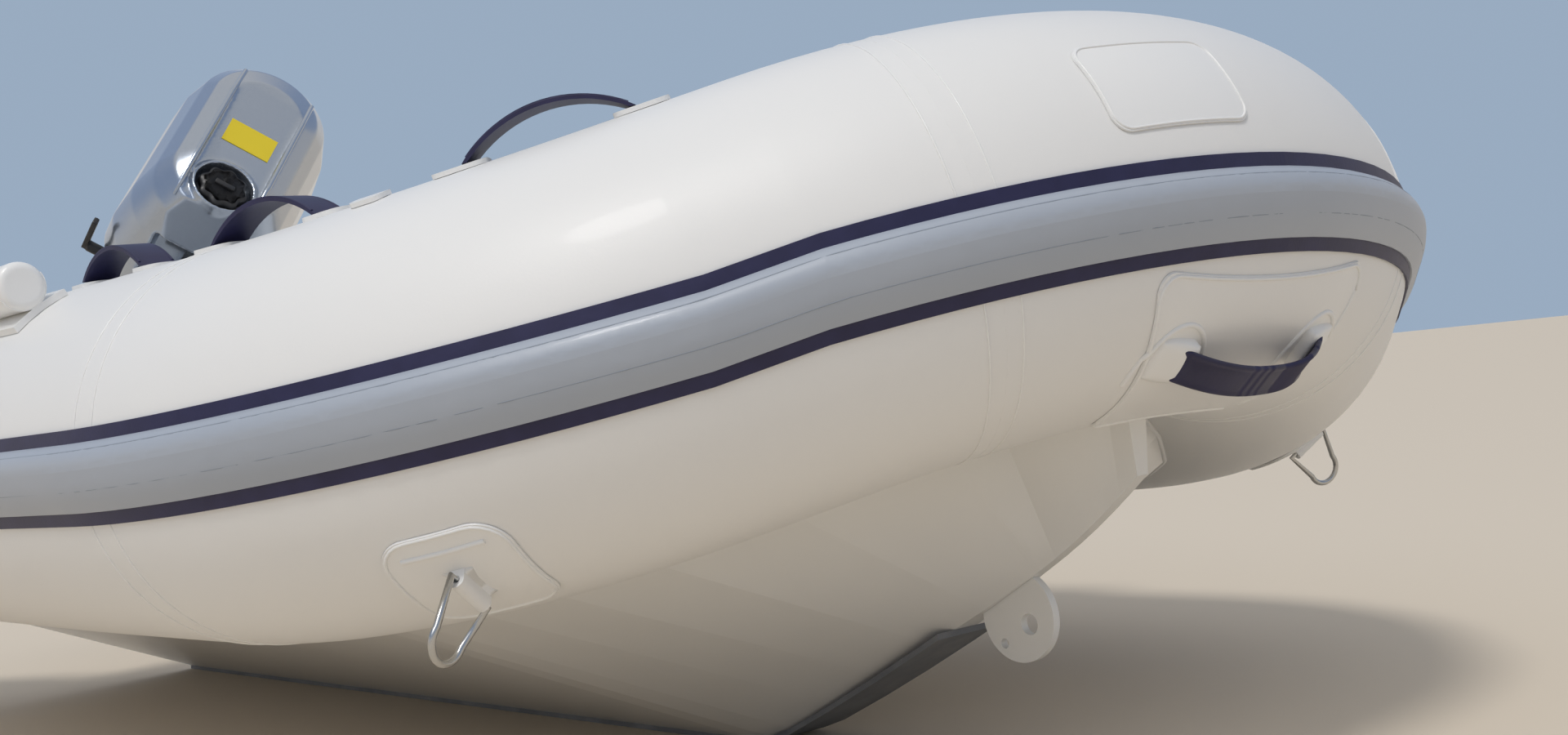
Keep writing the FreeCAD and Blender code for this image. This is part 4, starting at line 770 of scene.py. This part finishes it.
ring_corners = flat(
    (-ring_patch_half, ring_patch_top),
    (ring_patch_half, ring_patch_top),
    (ring_patch_half, ring_patch_low),
    (-ring_patch_half, ring_patch_low),
)
ring_outline = rounded_path(ring_corners, ring_patch_corner, per_side=10)
ridge_line = [(x, ridge_level) for x in steps(-ridge_half, ridge_half, 12)]
sleeve_arc = [
    (-sleeve_radius * math.cos(a), sleeve_radius * math.sin(a))
    for a in steps(0.0, math.pi, 10)
]
sleeve_section = [(-x, y) for x, y in reversed(sleeve_foot)] + sleeve_arc + sleeve_foot
sleeve_turn = Matrix.Rotation(-math.pi / 2, 4, "X")
ring_skin = skin_of("tube_starboard", "ring_patches_starboard")
ring_paths = []
welt_paths = []
ridge_paths = []
sleeves = bmesh.new()
for run in ring_runs:
    ring_place = tube_frame(run, ring_angle, ring_lift)
    bar = ring_place.to_3x3().col[1].normalized()
    hang = Vector((0, 0, -1))
    hang = (hang - bar * hang.dot(bar)).normalized()
    hang = Matrix.Rotation(ring_swing, 3, bar) @ hang
    ring_paths += both(
        [ring_place.translation + bar * p.x + hang * p.y for p in ring_line()]
    )
    patch_place = tube_frame(run, ring_angle)
    welt_paths += both([pressed(ring_skin, patch_place, p) for p in ring_outline])
    ridge_paths += both([pressed(ring_skin, patch_place, p) for p in ridge_line])
    for mirror in (1, -1):
        flip = Matrix.Diagonal((1, mirror, 1, 1))
        ends = [
            flip @ ring_place @ Matrix.Translation((0, shift, 0)) @ sleeve_turn
            for shift in steps(-sleeve_half, sleeve_half, 10)
        ]
        swept(sleeves, [(x, -y) for x, y in sleeve_section], ends)
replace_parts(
    bead("ring_wires", ring_paths, ring_wire, stainless, closed=True, resolution=6),
    "d_rings_starboard",
    "d_rings_port",
)
bead("ring_patch_welts", welt_paths, ring_welt_radius, patch_cloth, closed=True)
bead("ring_patch_ridges", ridge_paths, ridge_radius, patch_cloth)
piece("ring_sleeves", sleeves, patch_cloth, "boat")

# Bare top patch: a rectangle of white cloth with round corners, welded on the upper side
# of the bow and left empty. A low welt runs round its edge.
top_patch_run = 0.075
top_patch_angle = 32.0
top_half_length = 0.073
top_half_width = 0.042
top_corner = 0.015
top_welt_radius = 0.0012
top_corners = flat(
    (-top_half_length, -top_half_width),
    (top_half_length, -top_half_width),
    (top_half_length, top_half_width),
    (-top_half_length, top_half_width),
)
top_outline = rounded_path(top_corners, top_corner, per_side=12)
top_skin = skin_of("tube_bow", "tube_starboard", "bow_top_patch")
top_place = tube_frame(top_patch_run, top_patch_angle)
top_welt = [pressed(top_skin, top_place, p) for p in top_outline]
bead("top_patch_welt", [top_welt], top_welt_radius, patch_cloth, closed=True)

# Air valves: two flush valves of white plastic on each side tube, facing inwards. Each
# screw cap is ribbed round its rim, sits in the valve's seat and is as dull as the patches.
valve_runs = (0.700, 1.250)
valve_angle = 150.0
valve_lift = 0.0073
valve_rings = [
    (0.0175, 0.0),
    (0.0175, 0.0020),
    (0.0160, 0.0030),
    (0.0090, 0.0030),
    (0.0075, 0.0016),
]
valve_ribs = 12
valve_rib_size = (0.0016, 0.0022, 0.0026)
valve_rib_place = Matrix.Translation((0.0172, 0.0, 0.0012))
valve_caps = bmesh.new()
for run in valve_runs:
    for side in (-1, 1):
        place = tube_frame(side * run, valve_angle, valve_lift)
        turned_disc(valve_caps, valve_rings, place, segments=32)
        for number in range(valve_ribs):
            spin = Matrix.Rotation(math.tau * number / valve_ribs, 4, "Z")
            block(valve_caps, valve_rib_size, place @ spin @ valve_rib_place)
piece("valve_caps", valve_caps, patch_cloth, "boat", smooth=False)

# Oars: an alloy shaft with a white blade, held by a cup at its front end and a lock
# amidships; two black stop rings keep the shaft in the lock.
oar_angle = 56.0
oar_run = 1.100
oar_length = 1.280
oar_lift = 0.030
blade_length = 0.380
shaft_radius = 0.015
shaft_start = 0.100
shaft_gap = 0.005
shaft_wall = 0.0004
stop_places = (0.325, 0.445)
stop_length = 0.010
stop_wall = 0.0040
brushing = (0.05, 1.0, 1.0)
paint(white_plastic, "oar_starboard", "oar_port")
oar_alloy = principled("oar_alloy", (0.60, 0.61, 0.63), roughness=0.34, metallic=1.0)
grained(oar_alloy, scale=90.0, detail=2.0, depth=0.0002, strength=0.4, stretch=brushing)
oar_start = tube_frame(oar_run, oar_angle, oar_lift).translation
oar_end = tube_frame(oar_run + oar_length, oar_angle, oar_lift).translation
oar_along = (oar_end - oar_start).normalized()
shaft_line = [
    oar_start + oar_along * distance
    for distance in steps(shaft_start, oar_length - blade_length - shaft_gap, 8)
]
bead("oar_shafts", both(shaft_line), shaft_radius + shaft_wall, oar_alloy, resolution=8)
stop_paths = []
for distance in stop_places:
    ends = (distance, distance + stop_length)
    stop_paths += both([oar_start + oar_along * end for end in ends])
bead("oar_stops", stop_paths, shaft_radius + stop_wall, black_plastic, resolution=8)

# Bench seat: a white moulded board with a shallow non-slip field, dropped into two
# holders that are glued on the inner side of the tubes.
bench_white = principled("bench_white", (0.78, 0.78, 0.77), roughness=0.38)
dotted(bench_white, pitch=0.014, height=0.0005)
paint(bench_white, "bench_seat")

# Motor clamp and swivel: cast alloy brackets under silver-blue paint. Screws with hand bars
# clamp them on the transom, and a round nut closes each end of the tilt pin.
motor_paint_dark = (0.175, 0.205, 0.250)
motor_paint_light = (0.30, 0.345, 0.41)
tilt_axis = Vector((-0.7831, 0.0, 0.575))
motor_tilt = math.radians(62.0)
motor_steer = math.radians(-38.0)
swivel_back = 0.085
pin_half = 0.080
pin_nut_radius = 0.009
motor_frame = (
    Matrix.Translation(tilt_axis)
    @ Matrix.Rotation(motor_tilt, 4, "Y")
    @ Matrix.Translation((-swivel_back, 0.0, 0.0))
    @ Matrix.Rotation(motor_steer, 4, "Z")
)
cast_paint = principled("cast_paint", motor_paint_dark, roughness=0.38, metallic=0.55, coat=0.3)
grained(cast_paint, scale=140.0, detail=3.0, depth=0.0003, strength=0.5)


def softened(name, node, material, body, voxel, rounds):
    """The CAD piece with its edges rounded as a casting's are; it stands for the node."""
    shape = bmesh.new()
    shape.from_mesh(nodes[node].data)
    bmesh.ops.remove_doubles(shape, verts=shape.verts, dist=0.00002)
    mesh = bpy.data.meshes.new(f"{name}_base")
    shape.to_mesh(mesh)
    shape.free()
    base = bpy.data.objects.new(f"{name}_base", mesh)
    bpy.context.scene.collection.objects.link(base)
    remesh = base.modifiers.new("voxels", "REMESH")
    remesh.mode = "VOXEL"
    remesh.voxel_size = voxel
    graph = bpy.context.evaluated_depsgraph_get()
    fine_mesh = bpy.data.meshes.new_from_object(base.evaluated_get(graph))
    bpy.data.objects.remove(base)
    shape = bmesh.new()
    shape.from_mesh(fine_mesh)
    for _ in range(rounds):
        bmesh.ops.smooth_vert(
            shape,
            verts=shape.verts,
            factor=0.5,
            use_axis_x=True,
            use_axis_y=True,
            use_axis_z=True,
        )
    made = piece(name, shape, material, body)
    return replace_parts(made, node)


softened("clamp_casting", "clamp_bracket", cast_paint, "boat", voxel=0.0025, rounds=3)
softened("swivel_casting", "swivel_bracket", cast_paint, "tilt_unit", voxel=0.0025, rounds=3)
for side, word in ((-1, "starboard"), (1, "port")):
    spot = tilt_axis + Vector((0, side * pin_half, 0))
    screw_heads(f"tilt_pin_cap_{word}", [spot], (0, side, 0), pin_nut_radius, "boat")

# Motor leg and gear case: one painted casting each, with the seam bolts between them, the
# water intake and a small anode under the plate over the propeller.
plate_level = -0.535
bolt_stations = (-0.060, -0.110)
bolt_side = 0.062
bolt_lift = 0.0071
bolt_radius = 0.006
anode_size = (0.050, 0.026, 0.012)
anode_station = -0.165
anode_drop = 0.006
anode_edge = 0.003
slot_count = 5
slot_size = (0.030, 0.003, 0.003)
slot_station = -0.066
slot_side = 0.0165
slot_level = -0.572
slot_pitch = 0.009
softened("leg_casting", "motor_leg", cast_paint, "motor", voxel=0.003, rounds=4)
softened("gear_casting", "gear_case", cast_paint, "motor", voxel=0.0022, rounds=3)
bolt_spots = [
    motor_frame @ Vector((station, side * bolt_side, plate_level + bolt_lift))
    for station in bolt_stations
    for side in (-1, 1)
]
motor_up = motor_frame.to_3x3() @ Vector((0, 0, 1))
screw_heads("gear_bolts", bolt_spots, motor_up, bolt_radius, "motor")
anode_zinc = principled("anode_zinc", (0.36, 0.37, 0.38), roughness=0.6, metallic=0.8)


def bevelled(shape, edges, offset):
    """Edges cut off by an offset in two facets."""
    bmesh.ops.bevel(
        shape,
        geom=edges,
        offset=offset,
        segments=2,
        profile=0.5,
        affect="EDGES",
        material=-1,
    )


anode = bmesh.new()
block(anode, anode_size, Matrix.Identity(4))
bevelled(anode, list(anode.edges), anode_edge)
anode_place = Matrix.Translation((anode_station, 0.0, plate_level - anode_drop))
bmesh.ops.transform(anode, matrix=motor_frame @ anode_place, verts=anode.verts)
piece("gear_anode", anode, anode_zinc, "motor")
intake = bmesh.new()
for number in range(slot_count):
    level = slot_level - slot_pitch * number
    for side in (-1, 1):
        slot_place = Matrix.Translation((slot_station, side * slot_side, level))
        block(intake, slot_size, motor_frame @ slot_place)
piece("water_intake", intake, black_plastic, "motor", smooth=False)

# Propeller: three blades and their hub in one alloy casting, painted as the gear case. It
# sits on the end of the shaft that comes out of the case.
softened("propeller_casting", "propeller", cast_paint, "propeller", voxel=0.002, rounds=3)

# Lower pan and cowl: moulded housings in silver-blue metallic under clear lacquer. A thin
# rib runs along each side of the channel in the cowl's top.
cowl_top = 0.399
cowl_rib_side = 0.0635
cowl_rib_span = (-0.262, 0.060)
cowl_rib_sink = 0.0006
cowl_rib_radius = 0.0044
flake_dark = (0.36, 0.41, 0.49)
flake_light = (0.48, 0.53, 0.60)
metallic_paint = principled(
    "metallic_paint", motor_paint_light, roughness=0.24, metallic=0.85, coat=1.0
)
tinted(metallic_paint, flake_dark, flake_light, scale=1400.0, detail=1.0)
softened("pan_moulding", "lower_pan", metallic_paint, "motor", voxel=0.004, rounds=5)
softened("cowl_moulding", "cowl", metallic_paint, "motor", voxel=0.0029, rounds=5)
cowl_skin = skin_of("cowl")
rib_place = motor_frame @ Matrix.Translation((0.0, 0.0, cowl_top))
cowl_rib_paths = []
for side in (-1, 1):
    rib_line = [(x, side * cowl_rib_side) for x in steps(*cowl_rib_span, 48)]
    cowl_rib_paths.append(
        [pressed(cowl_skin, rib_place, p, -cowl_rib_sink) for p in rib_line]
    )
bead("cowl_ribs", cowl_rib_paths, cowl_rib_radius, metallic_paint, "motor", resolution=4)

# Blank sticker: a yellow rectangle of plastic film with no print, stuck on the sloping
# floor of the cowl's channel behind the fuel cap.
channel_start = -0.230
channel_length = 0.294
channel_drop = 0.027
channel_lift = 0.001
sticker_size = (0.050, 0.084, 0.0012)
sticker_station = -0.104
sticker_lift = 0.0006
sticker_yellow = principled("sticker_yellow", (0.80, 0.62, 0.02), roughness=0.5)
channel_slope = math.atan2(channel_drop, channel_length)
sticker_fall = channel_drop * (sticker_station - channel_start) / channel_length
sticker_level = cowl_top + channel_lift - sticker_fall + sticker_lift
sticker_place = (
    motor_frame
    @ Matrix.Translation((sticker_station, 0.0, sticker_level))
    @ Matrix.Rotation(channel_slope, 4, "Y")
)
sticker = bmesh.new()
block(sticker, sticker_size, sticker_place)
piece("blank_sticker", sticker, sticker_yellow, "motor", smooth=False)

# Fuel cap: a black moulded screw cap with eight finger lobes and a grip bar. It is screwed
# down on a round skirt in the channel of the cowl.
cap_station = 0.014
cap_drop = 0.038
cap_gap = 0.0003
skirt_rings = [(0.0435, 0.0), (0.0435, 0.004), (0.040, 0.006)]
knob_rings = [
    (0.0385, 0.004),
    (0.0385, 0.019),
    (0.0370, 0.0225),
    (0.0340, 0.0240),
    (0.0210, 0.0240),
    (0.0185, 0.0215),
]
lobe_count = 8
lobe_swell = 0.075
lobe_radius = 0.034
grip_bar_size = (0.009, 0.034, 0.008)
grip_bar_rise = 0.0254
grip_bar_edge = 0.002
cap = bmesh.new()
turned_disc(cap, skirt_rings, Matrix.Identity(4), 64)
for vert in turned_disc(cap, knob_rings, Matrix.Identity(4), 96):
    around = math.atan2(vert.co.y, vert.co.x)
    reach = min(1.0, math.hypot(vert.co.x, vert.co.y) / lobe_radius)
    swell = 1.0 + lobe_swell * math.cos(lobe_count * around) * reach**3
    vert.co.x *= swell
    vert.co.y *= swell
grip_bar = block(cap, grip_bar_size, Matrix.Translation((0.0, 0.0, grip_bar_rise)))
grip_bar_edges = list({edge for vert in grip_bar for edge in vert.link_edges})
bevelled(cap, grip_bar_edges, grip_bar_edge)
cap_place = Matrix.Translation((cap_station, 0.0, cowl_top - cap_drop + cap_gap))
bmesh.ops.transform(cap, matrix=motor_frame @ cap_place, verts=cap.verts)
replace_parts(piece("fuel_cap_knob", cap, black_plastic, "motor"), "fuel_cap")

# Starter handle and shift lever: black moulded plastic. Tiller: a painted arm with a
# ribbed rubber grip.
tiller_rise = math.radians(20.0)
tiller_root = Vector((0.084, 0.0, 0.093))
grip_radius = 0.0172
grip_start = 0.204
grip_ribs = 11
grip_rib_pitch = 0.010
grip_rib_radius = 0.0016
softened("starter_grip", "starter_handle", black_plastic, "motor", voxel=0.0016, rounds=3)
softened("shift_lever_moulding", "shift_lever", black_plastic, "motor", voxel=0.0016, rounds=3)
softened("tiller_casting", "tiller_arm", cast_paint, "motor", voxel=0.0018, rounds=2)
black_rubber = principled("black_rubber", (0.018, 0.018, 0.018), roughness=0.65)
paint(black_rubber, "tiller_grip")
tiller_place = (
    motor_frame
    @ Matrix.Translation(tiller_root)
    @ Matrix.Rotation(math.pi / 2 - tiller_rise, 4, "Y")
)
grip_rib_paths = []
for number in range(grip_ribs):
    height = grip_start + grip_rib_pitch * number
    grip_rib = [
        tiller_place @ Vector((grip_radius * math.cos(a), grip_radius * math.sin(a), height))
        for a in steps(0.0, math.tau, 32)[:-1]
    ]
    grip_rib_paths.append(grip_rib)
bead(
    "tiller_grip_ribs",
    grip_rib_paths,
    grip_rib_radius,
    black_rubber,
    "motor",
    closed=True,
    resolution=2,
)

# Studio: a plain pale floor, a soft high light from ahead and a wide soft panel above and
# beside the camera. The world gives a soft sky, and the camera sees a pale blue backdrop in
# its place.
floor_radius = 60.0
floor_colour = (0.72, 0.63, 0.51)
floor_mesh = bpy.data.meshes.new("studio_floor")
floor_shape = bmesh.new()
bmesh.ops.create_circle(floor_shape, cap_ends=True, segments=64, radius=floor_radius)
floor_shape.to_mesh(floor_mesh)
floor_shape.free()
floor = bpy.data.objects.new("studio_floor", floor_mesh)
bpy.context.scene.collection.objects.link(floor)
floor_mesh.materials.append(principled("studio_floor", floor_colour, roughness=0.9))


def lamp(name, kind, energy, colour, aim):
    """A lamp that shines along a direction."""
    data = bpy.data.lights.new(name, kind)
    data.energy = energy
    data.color = colour
    holder = bpy.data.objects.new(name, data)
    holder.rotation_euler = Vector(aim).to_track_quat("-Z", "Y").to_euler()
    bpy.context.scene.collection.objects.link(holder)
    return holder


key = lamp("key", "SUN", energy=1.30, colour=(1.0, 0.97, 0.93), aim=(-0.25, 0.55, -1.0))
key.data.angle = 0.22
panel = lamp("panel", "AREA", energy=24.0, colour=(1.0, 0.98, 0.95), aim=(-2.2, 3.8, -3.1))
panel.location = (2.6, -4.2, 3.6)
panel.data.shape = "RECTANGLE"
panel.data.size = 3.6
panel.data.size_y = 1.6
sky_strength = 0.60
sky_stops = (
    (0.00, (1.00, 0.93, 0.84)),
    (0.16, (0.98, 0.96, 0.94)),
    (0.34, (0.50, 0.62, 0.84)),
    (0.62, (0.42, 0.55, 0.80)),
    (0.80, (1.00, 1.00, 1.00)),
)
backdrop_colour = (0.32, 0.41, 0.53, 1.0)
world = bpy.data.worlds.new("studio")
bpy.context.scene.world = world
world.use_nodes = True
world_tree = world.node_tree
sky = world_tree.nodes["Background"]
sky.inputs["Strength"].default_value = sky_strength
sky_coords = world_tree.nodes.new("ShaderNodeTexCoord")
sky_height = world_tree.nodes.new("ShaderNodeSeparateXYZ")
world_tree.links.new(sky_coords.outputs["Generated"], sky_height.inputs["Vector"])
sky_colour = ramp_on(world_tree, sky_height.outputs["Z"], sky_stops)
world_tree.links.new(sky_colour, sky.inputs["Color"])
backdrop = world_tree.nodes.new("ShaderNodeBackground")
backdrop.inputs["Color"].default_value = backdrop_colour
backdrop.inputs["Strength"].default_value = 1.0
ray = world_tree.nodes.new("ShaderNodeLightPath")
choice = world_tree.nodes.new("ShaderNodeMixShader")
world_tree.links.new(ray.outputs["Is Camera Ray"], choice.inputs["Fac"])
world_tree.links.new(sky.outputs["Background"], choice.inputs[1])
world_tree.links.new(backdrop.outputs["Background"], choice.inputs[2])
world_tree.links.new(choice.outputs["Shader"], world_tree.nodes["World Output"].inputs["Surface"])

# Camera: at the photograph's place, low off the starboard bow. The frame is taken as
# 1920 x 900, and the picture is rolled a little to the left.
photo_width = 1920
focal_pixels = 2172.7
centre_drop_pixels = 68.8
camera_place = Vector((2.3486, -1.2804, 0.3962))
camera_yaw = 2.4284
camera_pitch = -0.0222
camera_roll = -0.1033
camera_data = bpy.data.cameras.new("photo_camera")
camera_data.sensor_width = 36.0
camera_data.lens = camera_data.sensor_width * focal_pixels / photo_width
camera_data.shift_y = centre_drop_pixels / photo_width
camera_data.clip_end = 200.0
camera = bpy.data.objects.new("photo_camera", camera_data)
camera.matrix_world = (
    Matrix.Translation(camera_place)
    @ Matrix.Rotation(camera_yaw - math.pi / 2, 4, "Z")
    @ Matrix.Rotation(math.pi / 2 + camera_pitch, 4, "X")
    @ Matrix.Rotation(camera_roll, 4, "Z")
)
bpy.context.scene.collection.objects.link(camera)
bpy.context.scene.camera = camera
bpy.context.scene.view_settings.view_transform = "Standard"
